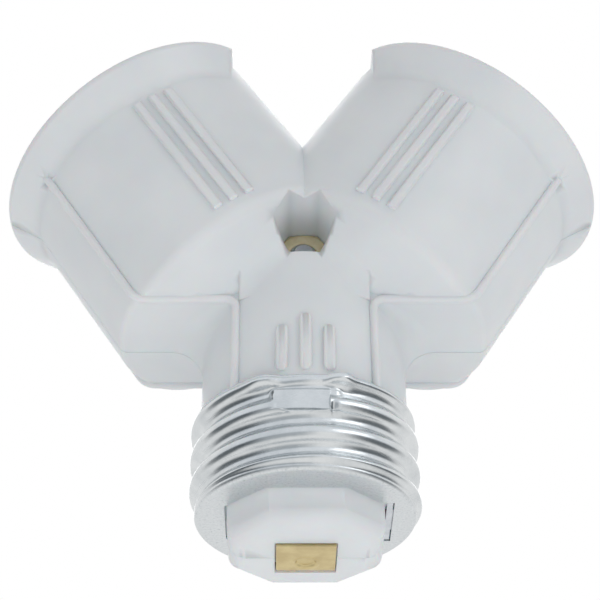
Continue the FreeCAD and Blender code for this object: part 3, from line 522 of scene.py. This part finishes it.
# On a slope, the inner face lies further in by the sheet's thickness times hypot(1, slope).
slope = (thread_radius(angles, z_in + 0.02) - thread_radius(angles, z_in - 0.02)) / 0.04
radius_in = thread_radius(angles, z_in) - SHEET * np.hypot(1, slope)
radius_in = pressed(radius_in, angles, z_in, PRESS_FACE - SHEET)
inner_edge = RING_EDGE - SHEET - 0.15
section_radius = np.concatenate([
    flat_under, RING_EDGE - CORNER + CORNER * np.sin(bend) * full_row, radius_out,
    rim_mid + SHEET / 2 * np.cos(rim), radius_in,
    inner_edge * full_row, open_at + (inner_edge - open_at) * ring_out[::-1]])
section_z = np.concatenate([
    0 * flat_under, CORNER * (1 - np.cos(bend)) * full_row, z_out * full_row,
    (SHELL_TOP - 0.1 + 0.1 * np.sin(rim)) * full_row, z_in * full_row,
    (RING + 0.1) * full_row, RING * np.ones_like(flat_under)])
shell_grid = np.stack([section_radius * np.cos(angles), section_radius * np.sin(angles),
                       section_z], axis=-1)
grid_piece("rolled_screw_shell", [(shell_grid, True, True)], nickel_shell,
           ["base_screw_shell"], sharp=40)

# %% [markdown]
# ## Places inside a socket
# Each socket has its own axis, so its pieces are laid out as on a lathe: out from the axis, towards
# the front, and in depth below the mouth. The record's mounts give the middle of each mouth and
# the way it faces.

# %% Socket directions
def in_socket(name, out, front, depth):
    """Mouth minus depth along the axis, plus out along the tilted side and front along -Y."""
    mouth = np.array(mounts["socket_" + name]["pos_m"]) / MM
    axis = np.array(mounts["socket_" + name]["axis"])
    side = SIDES[name]
    across = np.array([side * axis[2], 0, -side * axis[0]])
    out, front, depth = np.broadcast_arrays(out, front, depth)
    return (mouth - depth[..., None] * axis + out[..., None] * across
            + front[..., None] * np.array([0.0, -1.0, 0.0]))


def lathe_in_socket(name, profile, steps=96, out=0.0, front=0.0):
    """A profile of (radius, depth) carried round a line parallel to the socket's axis."""
    angle = np.linspace(0, 2 * np.pi, steps, endpoint=False)[None, :]
    radius, depth = profile[:, :1], profile[:, 1:]
    return in_socket(name, out + radius * np.cos(angle), front + radius * np.sin(angle),
                     depth + 0 * angle)


def strip(path, thickness, low, high, place, edge=0.06, across=1):
    """Sheet along a bent path of (a, b): a flat ring of points round the sheet at each step.

    The ring has the sheet's two faces at plus and minus half its thickness, square to the path,
    and cut corners as wide as edge. At both ends the ring shrinks to the middle.
    """
    ahead = np.gradient(path, axis=0)
    square = np.stack([-ahead[:, 1], ahead[:, 0]], axis=1)
    square /= np.linalg.norm(square, axis=1)[:, None]
    half = thickness / 2
    run = np.linspace(low + edge, high - edge, across + 1)
    off = np.concatenate([np.full(across + 1, half), [half - edge, edge - half],
                          np.full(across + 1, -half), [edge - half, half - edge]])
    wide = np.concatenate([run, [high, high], run[::-1], [low, low]])
    middle = (low + high) / 2
    a, b, w = [], [], []
    for shrink, row in ((0.0, 0), (1.0, slice(None)), (0.0, -1)):
        at, normal = np.atleast_2d(path[row]), np.atleast_2d(square[row])
        a.append(at[:, :1] + normal[:, :1] * off * shrink)
        b.append(at[:, 1:] + normal[:, 1:] * off * shrink)
        w.append(np.broadcast_to(middle + (wide - middle) * shrink, a[-1].shape))
    return place(np.concatenate(a), np.concatenate(b), np.concatenate(w))


# %% [markdown]
# ## Socket liners
# The sleeve that a lamp screws into is rolled sheet too, but its thread stands inwards. The same
# round wave as on the base is taken off the plain sleeve of the CAD: the crests are 1 mm nearer to
# the axis, the ends fade to a plain lip above and a plain flange below. A tongue goes down through
# the floor to the strip that joins both liners.

# %% Liners with their rolled thread
LINER, LINER_SHEET = 13.65, 0.35  # outside radius and thickness
LIP_TOP, LEDGE = 3.3, 16.2  # depths of the lip and of the seat
LIP_EDGE, FLANGE_EDGE = 14.5, 10.6  # how far the lip reaches out and the flange in
TONGUE_BACK, TONGUE_LOW, TONGUE_END = 10.775, 26.775, 7.2  # behind the axis, depth, end


def liner_wave(angle, depth):
    """How far the sheet stands in: 1 mm at the crests, nothing at the lip and the flange."""
    wave = thread_share(-depth / PITCH - angle / (2 * np.pi))
    return wave * smooth_step(depth, LIP_TOP + 0.8, LIP_TOP + 2.2) * (
        1 - smooth_step(depth, LEDGE - 2.0, LEDGE - 0.8))


angle = np.linspace(0, 2 * np.pi, 240, endpoint=False)[None, :]
run = np.linspace(LIP_TOP + 0.7, LEDGE - 0.7, 110)[:, None]
plain = np.ones_like(angle)
inner = LINER - LINER_SHEET
top_back = rounded([(LIP_EDGE, LIP_TOP + LINER_SHEET, 0), (LINER, LIP_TOP + LINER_SHEET, 0.3),
                    (LINER, LIP_TOP + 0.7, 0)])
low_back = rounded([(LINER, LEDGE - 0.7, 0), (LINER, LEDGE, 0.5), (FLANGE_EDGE, LEDGE, 0)])
low_face = rounded([(FLANGE_EDGE, LEDGE - LINER_SHEET, 0), (inner, LEDGE - LINER_SHEET, 0.25),
                    (inner, LEDGE - 0.7, 0)])
top_face = rounded([(inner, LIP_TOP + 0.7, 0), (inner, LIP_TOP, 0.6), (LIP_EDGE, LIP_TOP, 0)])
wave = liner_wave(angle, run)
radius = np.concatenate([
    top_back[:, :1] * plain, LINER - wave, low_back[:, :1] * plain, low_face[:, :1] * plain,
    (inner - wave)[::-1], top_face[:, :1] * plain])
depth = np.concatenate([
    top_back[:, 1:] * plain, run * plain, low_back[:, 1:] * plain, low_face[:, 1:] * plain,
    (run * plain)[::-1], top_face[:, 1:] * plain])
# The tongue starts inside the flange, so its end doesn't show on the flange's face.
tongue_path = rounded([(TONGUE_BACK, LEDGE - 0.15, 0), (TONGUE_BACK, TONGUE_LOW, 0.6),
                       (TONGUE_END, TONGUE_LOW, 0)])
for name, side in SIDES.items():
    # The angle runs to the right as seen from the mouth, so the thread is right-handed in both.
    sleeve = in_socket(name, radius * np.cos(angle), -side * radius * np.sin(angle), depth)
    tongue = strip(tongue_path, LINER_SHEET, 0.0, 3.0,
                   lambda a, b, w: in_socket(name, w, -a, b))
    grid_piece("threaded_liner_" + name, [(sleeve, True, True), (tongue, False, True)],
               nickel_liner, ["socket_liner_" + name])

# %% [markdown]
# ## Contacts in the sockets
# A lamp's tip presses a domed button on a springy bronze leaf.

# %% Buttons and leaves
CONTACT, PAD, FOOT = 19.6, 20.8, 23.8  # depths of the dome's top and of the leaf's two levels
LEAF, LEAF_HALF, FOOT_BEND, PAD_BEND = 0.4, 2.2, 4.6, 2.7  # sheet, half width, place of the bends

dome = np.concatenate([
    [(0, CONTACT), (0.5, CONTACT + 0.01), (0.9, CONTACT + 0.04)],
    rounded([(1.1, CONTACT + 0.06, 0), (1.9, CONTACT + 0.12, 0.45), (1.9, PAD - 0.2, 0)]),
    [(0.75, PAD - 0.2), (0.75, PAD + 0.2), (1.2, PAD + 0.2), (1.3, PAD + 0.3),
     (1.3, PAD + 0.55), (1.2, PAD + 0.7), (0, PAD + 0.7)]])
# From its riveted foot a leaf rises over two bends to the pad under the dome.
foot_bend, pad_bend = np.array([FOOT_BEND, FOOT]), np.array([PAD_BEND, PAD])
path = rounded([(7.8, FOOT, 0), (*foot_bend, 0.6), (*pad_bend, 0.6), (-LEAF_HALF, PAD, 0)], steps=8)
# Eight more rows on the slope between the bends.
slope_rows = foot_bend + np.linspace(0.3, 0.7, 8)[:, None] * (pad_bend - foot_bend)
path = np.concatenate([path[:-10], slope_rows, path[-10:]])
for name in SIDES:
    grid_piece("contact_dome_" + name, [(lathe_in_socket(name, dome), False, True)],
               pressed_brass, ["contact_button_" + name], body="contact_" + name)
    leaf_grid = strip(path, LEAF, -LEAF_HALF, LEAF_HALF,
                      lambda a, b, w: in_socket(name, a, w, b), across=4)
    leaf = grid_piece("spring_leaf_" + name, [(leaf_grid, False, True)], spring_bronze,
                      ["contact_leaf_" + name], body=None)
    start = in_socket(name, FOOT_BEND, 0.0, FOOT) * MM
    end = in_socket(name, PAD_BEND, 0.0, PAD) * MM
    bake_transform(leaf)

# %% [markdown]
# ## Rivets
# Each strip is held by a small rivet: a low domed head on one side and a tail that the tool spread
# on the other. Both are turned shapes, so one profile does for all of them.

# %% Rivets of the strips
def rivet_profile(head_from, head_to, tail_to):
    """Half a section as (radius, depth): domed head, shank and spread tail."""
    tail_from = tail_to - 0.4
    return np.array([
        (0, head_from), (0.6, head_from + 0.03), (0.95, head_from + 0.12), (1.2, head_from + 0.28),
        (1.3, head_to), (0.95, head_to), (0.95, tail_from), (1.2, tail_from),
        (1.18, tail_to - 0.15), (0.95, tail_to - 0.04), (0.5, tail_to), (0, tail_to)])


for name in SIDES:
    live_profile = rivet_profile(head_from=23.1, head_to=23.6, tail_to=27.0)
    live = lathe_in_socket(name, live_profile, 48, out=6.3)
    grid_piece("live_rivet_head_" + name, [(live, False, True)], pressed_brass,
               ["live_rivet_" + name], sharp=50)
    neutral_profile = rivet_profile(head_from=26.1, head_to=26.6, tail_to=27.85)
    neutral = lathe_in_socket(name, neutral_profile, 48, out=1.5, front=-8.6)
    grid_piece("neutral_rivet_head_" + name, [(neutral, False, True)], nickel_strip,
               ["neutral_rivet_" + name], sharp=50)

angle = np.linspace(0, 2 * np.pi, 48, endpoint=False)[None, :]
stem_profile = rivet_profile(head_from=23.9, head_to=24.4, tail_to=26.2)
stem_radius, stem_height = stem_profile[:, :1], stem_profile[:, 1:]
stem_grid = np.stack([stem_radius * np.cos(angle), stem_radius * np.sin(angle),
                      stem_height + 0 * angle], axis=-1)
grid_piece("stem_rivet_head", [(stem_grid, False, True)], pressed_brass, ["stem_rivet"],
           sharp=50)

# %% [markdown]
# ## Strips
# The live strip joins the base's plate to both leaves. It is one flat strip with two bends at each
# end, so its path does for its shape. The neutral strip has a leg, a plate and two tabs, and is
# hidden inside: its merged CAD form stays. Only its foot shows, in the notch of the end ring, where
# it spreads to nearly the notch's width.

# %% Live and neutral strips
STRIP, STRIP_HALF, STRIP_DEPTH = 0.6, 2.5, 26.3  # thickness, half width, depth below a mouth
MIDDLE_Z, MIDDLE_HALF = 25.5, 4.5  # height of the level middle run and half its length
NOTCH_FOOT, FOOT_Z = 0.24, 0.22  # thickness and height of the foot in the notch


def upright(a, b, w):
    """Places a strip whose path runs in X and Z, with its width along Y."""
    return np.stack([a, w, b], axis=-1)


# Each end lies square to a socket's axis, from 8.0 to 4.4 mm outside it.
foot_out = in_socket("right", 8.0, 0.0, STRIP_DEPTH)
foot_in = in_socket("right", 4.4, 0.0, STRIP_DEPTH)
live_path = rounded([(-foot_out[0], foot_out[2], 0), (-foot_in[0], foot_in[2], 0.9),
                     (-MIDDLE_HALF, MIDDLE_Z, 1.5), (MIDDLE_HALF, MIDDLE_Z, 1.5),
                     (foot_in[0], foot_in[2], 0.9), (foot_out[0], foot_out[2], 0)])
live_grid = strip(live_path, STRIP, -STRIP_HALF, STRIP_HALF, upright)
grid_piece("brass_live_strip", [(live_grid, False, True)], pressed_brass, ["live_strip"])
dress("plated_neutral_strip", merged_copy("neutral_strip"), nickel_strip,
      ["neutral_strip"], sharp=25)
# The spread foot ends 0.15 mm short of the notch's right edge.
foot_path = np.stack([np.linspace(8.95, 9.6, 4), np.full(4, FOOT_Z)], axis=1)
foot_grid = strip(foot_path, NOTCH_FOOT, -4.4, 4.45, upright)
grid_piece("neutral_strip_spread_foot", [(foot_grid, False, True)], nickel_strip)

# %% [markdown]
# ## The plate under the nose
# The centre contact is one brass strip: a flat plate under the nose, folded up into a stem that
# goes through it. The press that cut it left a shallow round dimple and slightly rounded edges.
# The underside gets the dimple as a hollow with a flat bottom, inside a low raised ring. Its rows
# and columns are close enough to draw that ring.

# %% Base contact
PLATE_Z, STEM_T, PLATE_HALF, PLATE_FRONT = -4.7, 0.8, 3.3, -3.5  # underside, thickness and sides
STEM_Y, STEM_TOP, STEM_END = 3.1, 24.8, -2.5  # where the stem goes up, turns, and ends along Y
DIMPLE_Y = 0.6
plate_middle = PLATE_Z + STEM_T / 2
plate_path = rounded([(PLATE_FRONT, plate_middle, 0), (STEM_Y, plate_middle, 1.0),
                      (STEM_Y, STEM_TOP, 1.0), (STEM_END, STEM_TOP, 0)], steps=8)
rows = np.linspace(PLATE_FRONT, 2.0, 80)
plate_path = np.concatenate([np.stack([rows, np.full_like(rows, plate_middle)], axis=1),
                             plate_path[1:]])


def dimpled(a, b, w):
    """Lifts the underside in a flat-bottomed round hollow 2.6 mm wide, inside a low raised ring."""
    away = np.hypot(w, a - DIMPLE_Y)
    hollow = 0.26 * (1 - smooth_step(away, 0.95, 1.25)) - 0.05 * hump(away, 1.4, 0.12)
    under = b < PLATE_Z + 0.01
    return np.stack([w, a, b + np.where(under, hollow, 0)], axis=-1)


plate_grid = strip(plate_path, STEM_T, -PLATE_HALF, PLATE_HALF, dimpled, edge=0.1, across=80)
grid_piece("brass_contact_plate", [(plate_grid, False, True)], pressed_brass,
           ["base_contact"], sharp=30)

# %% [markdown]
# ## Clamp screw and nut
# The halves are pulled together by one screw from the back, into a nut that sits deep in the
# hexagonal pocket of the front. A nut is a six-sided bar with its corners turned down, so its
# outline in each direction is the nearer of a flat and a cone. The screw's thread is a fine wave
# that climbs round the shank. Its slotted head is drawn in straight rows along the slot, so the
# slot's walls stay straight.

# %% Clamp nut
CLAMP_Z = 32.1
FLAT, BORE, NUT_FRONT, NUT_BACK = 3.0, 1.45, -7.0, -4.6  # two radii and two places along Y
FACE, BORE_MOUTH, CONE_RUN = 2.94, 1.75, 1.65  # two radii, and mm out for each mm back


def round_y(radius, angle, y):
    """Round the clamp screw's axis, which runs along Y at the clamp's height."""
    radius, angle, y = np.broadcast_arrays(radius, angle, y)
    return np.stack([radius * np.cos(angle), y, CLAMP_Z + radius * np.sin(angle)], axis=-1)


angle = np.linspace(0, 2 * np.pi, 180, endpoint=False)[None, :]
flat_at = FLAT / np.cos(angle % (np.pi / 3) - np.pi / 6)
cone = NUT_FRONT + np.maximum(flat_at - FACE, 0) / CONE_RUN
nut_rows = [(BORE, NUT_FRONT + 0.3), (BORE_MOUTH, NUT_FRONT), (FACE - 0.04, NUT_FRONT),
            (FACE, NUT_FRONT + 0.01), (flat_at, cone), (flat_at, NUT_BACK - 0.05),
            (flat_at - 0.05, NUT_BACK), (BORE_MOUTH, NUT_BACK), (BORE, NUT_BACK - 0.3)]
nut_grid = np.concatenate([round_y(radius, angle, y) for radius, y in nut_rows])
grid_piece("brass_clamp_nut", [(nut_grid, True, True)], nut_brass_painted_light, ["clamp_nut"],
           sharp=25)

# %% Clamp screw
SCREW_PITCH, SCREW, SCREW_THREAD = 0.6, 1.6, 0.25  # pitch, outside radius, depth of the thread
TIP, THREAD_END, SHANK_END = -7.6, 2.0, 8.6  # places along Y
HEAD, HEAD_LOW, HEAD_TOP, HEAD_ROUND = 3.3, 8.5, 10.7, 0.88  # radius, places along Y, rounding
SLOT, SLOT_DEPTH = 0.45, 1.1  # half its width, and how deep it is cut

along = np.concatenate([[TIP, TIP], np.linspace(TIP + 0.05, THREAD_END, 160),
                        [THREAD_END + 0.1, SHANK_END, SHANK_END]])[:, None]
threaded = window(along, (TIP, TIP + 0.3), (THREAD_END - 0.4, THREAD_END))
wave = (1 + np.cos(2 * np.pi * (along / SCREW_PITCH + angle / (2 * np.pi)))) / 2
shank = SCREW - SCREW_THREAD * threaded * wave - 0.5 * (1 - np.clip((along - TIP) / 0.3, 0, 1))
shank[0], shank[-1] = 0, 0
screw_shank = round_y(shank, angle, along)

rows = np.concatenate([-HEAD * np.cos(np.linspace(0, np.pi / 2, 24))[:-1], [0]])
slot_rows = [-SLOT - 0.01, -SLOT, SLOT, SLOT + 0.01]
rows = np.unique(np.round(np.concatenate([rows, -rows, slot_rows]), 5))[:, None]
across = np.sin(np.linspace(-np.pi / 2, np.pi / 2, 41))[None, :]
x_top = np.sqrt(np.maximum(HEAD ** 2 - rows ** 2, 0)) * across
z_top = rows + 0 * across
over = np.clip((np.hypot(x_top, z_top) - (HEAD - HEAD_ROUND)) / HEAD_ROUND, 0, 1)
y_top = HEAD_TOP - HEAD_ROUND * (1 - np.sqrt(np.maximum(1 - over ** 2, 0)))
y_top = np.where(np.abs(z_top) <= SLOT, HEAD_TOP - SLOT_DEPTH, y_top)
x_head = np.concatenate([x_top, x_top[:, ::-1]], axis=1)
y_head = np.concatenate([y_top, np.full_like(y_top, HEAD_LOW)], axis=1)
z_head = CLAMP_Z + np.concatenate([z_top, z_top], axis=1)
screw_head = np.stack([x_head, y_head, z_head], axis=-1)
ends = np.repeat(screw_head[[0, -1]].mean(axis=1, keepdims=True), screw_head.shape[1], axis=1)
screw_head = np.concatenate([ends[:1], screw_head, ends[1:]])
grid_piece("slotted_clamp_screw", [(screw_shank, False, True), (screw_head, False, True)],
           zinc_screw, ["clamp_screw"], sharp=30)

# %% [markdown]
# ## Floor
# The adapter hangs over a plain pale floor, low enough for a camera that looks up at it. To the
# camera the floor glows a little, so it stays as pale as paper on a light table. Reflections go
# through it and meet the world instead, or the metal would mirror a hard horizon.

# %% Floor
def mixed(tree, share, first, second):
    """A shader that turns from the first to the second as share goes from 0 to 1."""
    made = node(tree, "ShaderNodeMixShader", {}, {"Fac": share})
    tree.links.new(first.outputs[0], made.inputs[1])
    tree.links.new(second.outputs[0], made.inputs[2])
    return made


floor_material, tree = new_material("pale_floor_paint")
floor_skin = node(tree, "ShaderNodeBsdfPrincipled", {},
                  {"Base Color": linear("#F8F8F8"), "Roughness": 0.9})
rays = node(tree, "ShaderNodeLightPath")
glow = node(tree, "ShaderNodeEmission", {}, {"Color": (1, 1, 1, 1), "Strength": 0.3})
lifted = node(tree, "ShaderNodeAddShader")
tree.links.new(floor_skin.outputs[0], lifted.inputs[0])
tree.links.new(glow.outputs[0], lifted.inputs[1])
unseen = node(tree, "ShaderNodeBsdfTransparent", {}, {"Color": (1, 1, 1, 1)})
paint = mixed(tree, rays.outputs["Is Camera Ray"], floor_skin, lifted)
paint = mixed(tree, rays.outputs["Is Glossy Ray"], paint, unseen)
node(tree, "ShaderNodeOutputMaterial", {}, {"Surface": paint})
floor_mesh = bpy.data.meshes.new("floor")
reach, drop = 3.0, -0.17  # in metres
floor_mesh.from_pydata([(-reach, -reach, drop), (reach, -reach, drop), (reach, reach, drop),
                        (-reach, reach, drop)], [], [(0, 1, 2, 3)])
floor_mesh.materials.append(floor_material)
floor = bpy.data.objects.new("floor", floor_mesh)
bpy.context.scene.collection.objects.link(floor)

# %% [markdown]
# ## World
# A light tent: the camera meets plain white, and pale light comes from every side. Nickel shows
# what is around it, so reflections see more: the bright tent, a dark flag on each side of the
# camera, the photographer between them in grey, and a hall behind that is hardly less bright. The
# flags draw the dark lines down the sides of the thread. Without them nickel looks like grey paint.

# %% World
world = bpy.data.worlds.new("light_tent")
world.use_nodes = True
bpy.context.scene.world = world
tree = world.node_tree
tree.nodes.clear()
rays = node(tree, "ShaderNodeLightPath")
seen = node(tree, "ShaderNodeBackground", {}, {"Color": (1, 1, 1, 1), "Strength": 1.0})
direction = node(tree, "ShaderNodeTexCoord").outputs["Generated"]
toward = node(tree, "ShaderNodeSeparateXYZ", {}, {"Vector": direction})


def part_of(value, low, high):
    """Zero to one as value climbs from low to high, smooth at both ends."""
    return node(tree, "ShaderNodeMapRange", {"interpolation_type": "SMOOTHSTEP"},
                {"Value": value, "From Min": low, "From Max": high})


def calculated(operation, *values):
    """The result of a maths node on one or two outputs."""
    made = node(tree, "ShaderNodeMath", {"operation": operation})
    for value, socket in zip(values, made.inputs):
        tree.links.new(value, socket)
    return made.outputs[0]


def product(first, *others):
    """The parts multiplied, one after another."""
    total = first.outputs[0]
    for other in others:
        total = calculated("MULTIPLY", total, other.outputs[0])
    return total


beside = calculated("ABSOLUTE", toward.outputs["X"])
level_up = part_of(toward.outputs["Z"], -0.85, -0.5)
level_down = part_of(toward.outputs["Z"], 0.2, -0.05)
in_front = part_of(toward.outputs["Y"], 0.35, 0.05)
flags = product(level_up, level_down, in_front, part_of(beside, 0.52, 0.85))
photographer = product(level_up, level_down, part_of(toward.outputs["X"], 0.25, 0.0),
                       part_of(toward.outputs["Y"], -0.3, -0.5))
hall = product(part_of(toward.outputs["Z"], -0.15, 0.1), part_of(toward.outputs["Y"], 0.2, -0.3))
room = ramp(tree, hall, [(0.0, "#FFFFFF"), (1.0, "#F1F5FA")])
for shade, colour in ((photographer, "#C0C5C9"), (flags, "#6E7478")):
    room = node(tree, "ShaderNodeMix", {"data_type": "RGBA", "blend_type": "MULTIPLY"},
                {"Factor": shade, "A": room, "B": linear(colour)})
mirrored = node(tree, "ShaderNodeBackground", {}, {"Color": room, "Strength": 0.90})
ambient = node(tree, "ShaderNodeBackground", {}, {"Color": linear("#FAFBFC"), "Strength": 0.63})
indirect = calculated("MAXIMUM", rays.outputs["Is Glossy Ray"],
                      rays.outputs["Is Transmission Ray"])
lit = mixed(tree, indirect, ambient, mirrored)
final = mixed(tree, rays.outputs["Is Camera Ray"], lit, seen)
node(tree, "ShaderNodeOutputWorld", {}, {"Surface": final})

# %% [markdown]
# ## Lamps
# Three large soft lamps light the tent: one over the photographer's right shoulder, one behind and
# above the adapter, and a light table below that fills the underside.

# %% Lamps
MIDDLE = Vector((0, 0, 0.03))


def soft_lamp(name, place, width, watts, mirrored=True):
    """A square area lamp at place in metres, turned to the middle of the adapter.

    A lamp adds to the world behind it in a reflection, so a wide one is left out of reflections.
    """
    lamp = bpy.data.lights.new(name, "AREA")
    lamp.size = width
    lamp.energy = watts
    holder = bpy.data.objects.new(name, lamp)
    holder.location = place
    holder.rotation_euler = (MIDDLE - Vector(place)).to_track_quat("-Z", "Y").to_euler()
    holder.visible_camera = False
    holder.visible_glossy = mirrored
    bpy.context.scene.collection.objects.link(holder)


soft_lamp("over the right shoulder", place=(0.42, -0.40, 0.25), width=0.35, watts=0.40)
soft_lamp("light table", place=(0.0, -0.04, -0.165), width=0.4, watts=0.30, mirrored=False)
soft_lamp("behind and above", place=(0.0, 0.5, 0.5), width=0.5, watts=1.1)

# %% [markdown]
# ## Camera
# The photograph was taken from below the front, looking up along the nose. Its numbers come from
# fitting a plain pinhole camera to the corners and outlines that can be measured on both the
# photograph and the part: where the camera stands, how far off, and the length of its lens.

# %% Camera
target = Vector((-0.36, 0.0, 30.48)) * MM
azimuth, elevation, roll = math.radians(-1.09), math.radians(35.07), math.radians(-0.58)
distance, lens_mm = 0.2, 97.7
ahead = Vector((-math.sin(azimuth) * math.cos(elevation), math.cos(azimuth) * math.cos(elevation),
                math.sin(elevation)))
right = Vector((math.cos(azimuth), math.sin(azimuth), 0))
up = right.cross(ahead)
right, up = (right * math.cos(roll) + up * math.sin(roll),
             up * math.cos(roll) - right * math.sin(roll))
camera = bpy.data.cameras.new("product camera")
camera.lens, camera.sensor_width = lens_mm, 36.0
camera.clip_start = 0.01
holder = bpy.data.objects.new("product camera", camera)
turn = Matrix((right, up, -ahead)).transposed().to_4x4()
holder.matrix_world = Matrix.Translation(target - ahead * distance) @ turn
bpy.context.scene.collection.objects.link(holder)
bpy.context.scene.camera = holder
bpy.context.scene.view_settings.view_transform = "Standard"
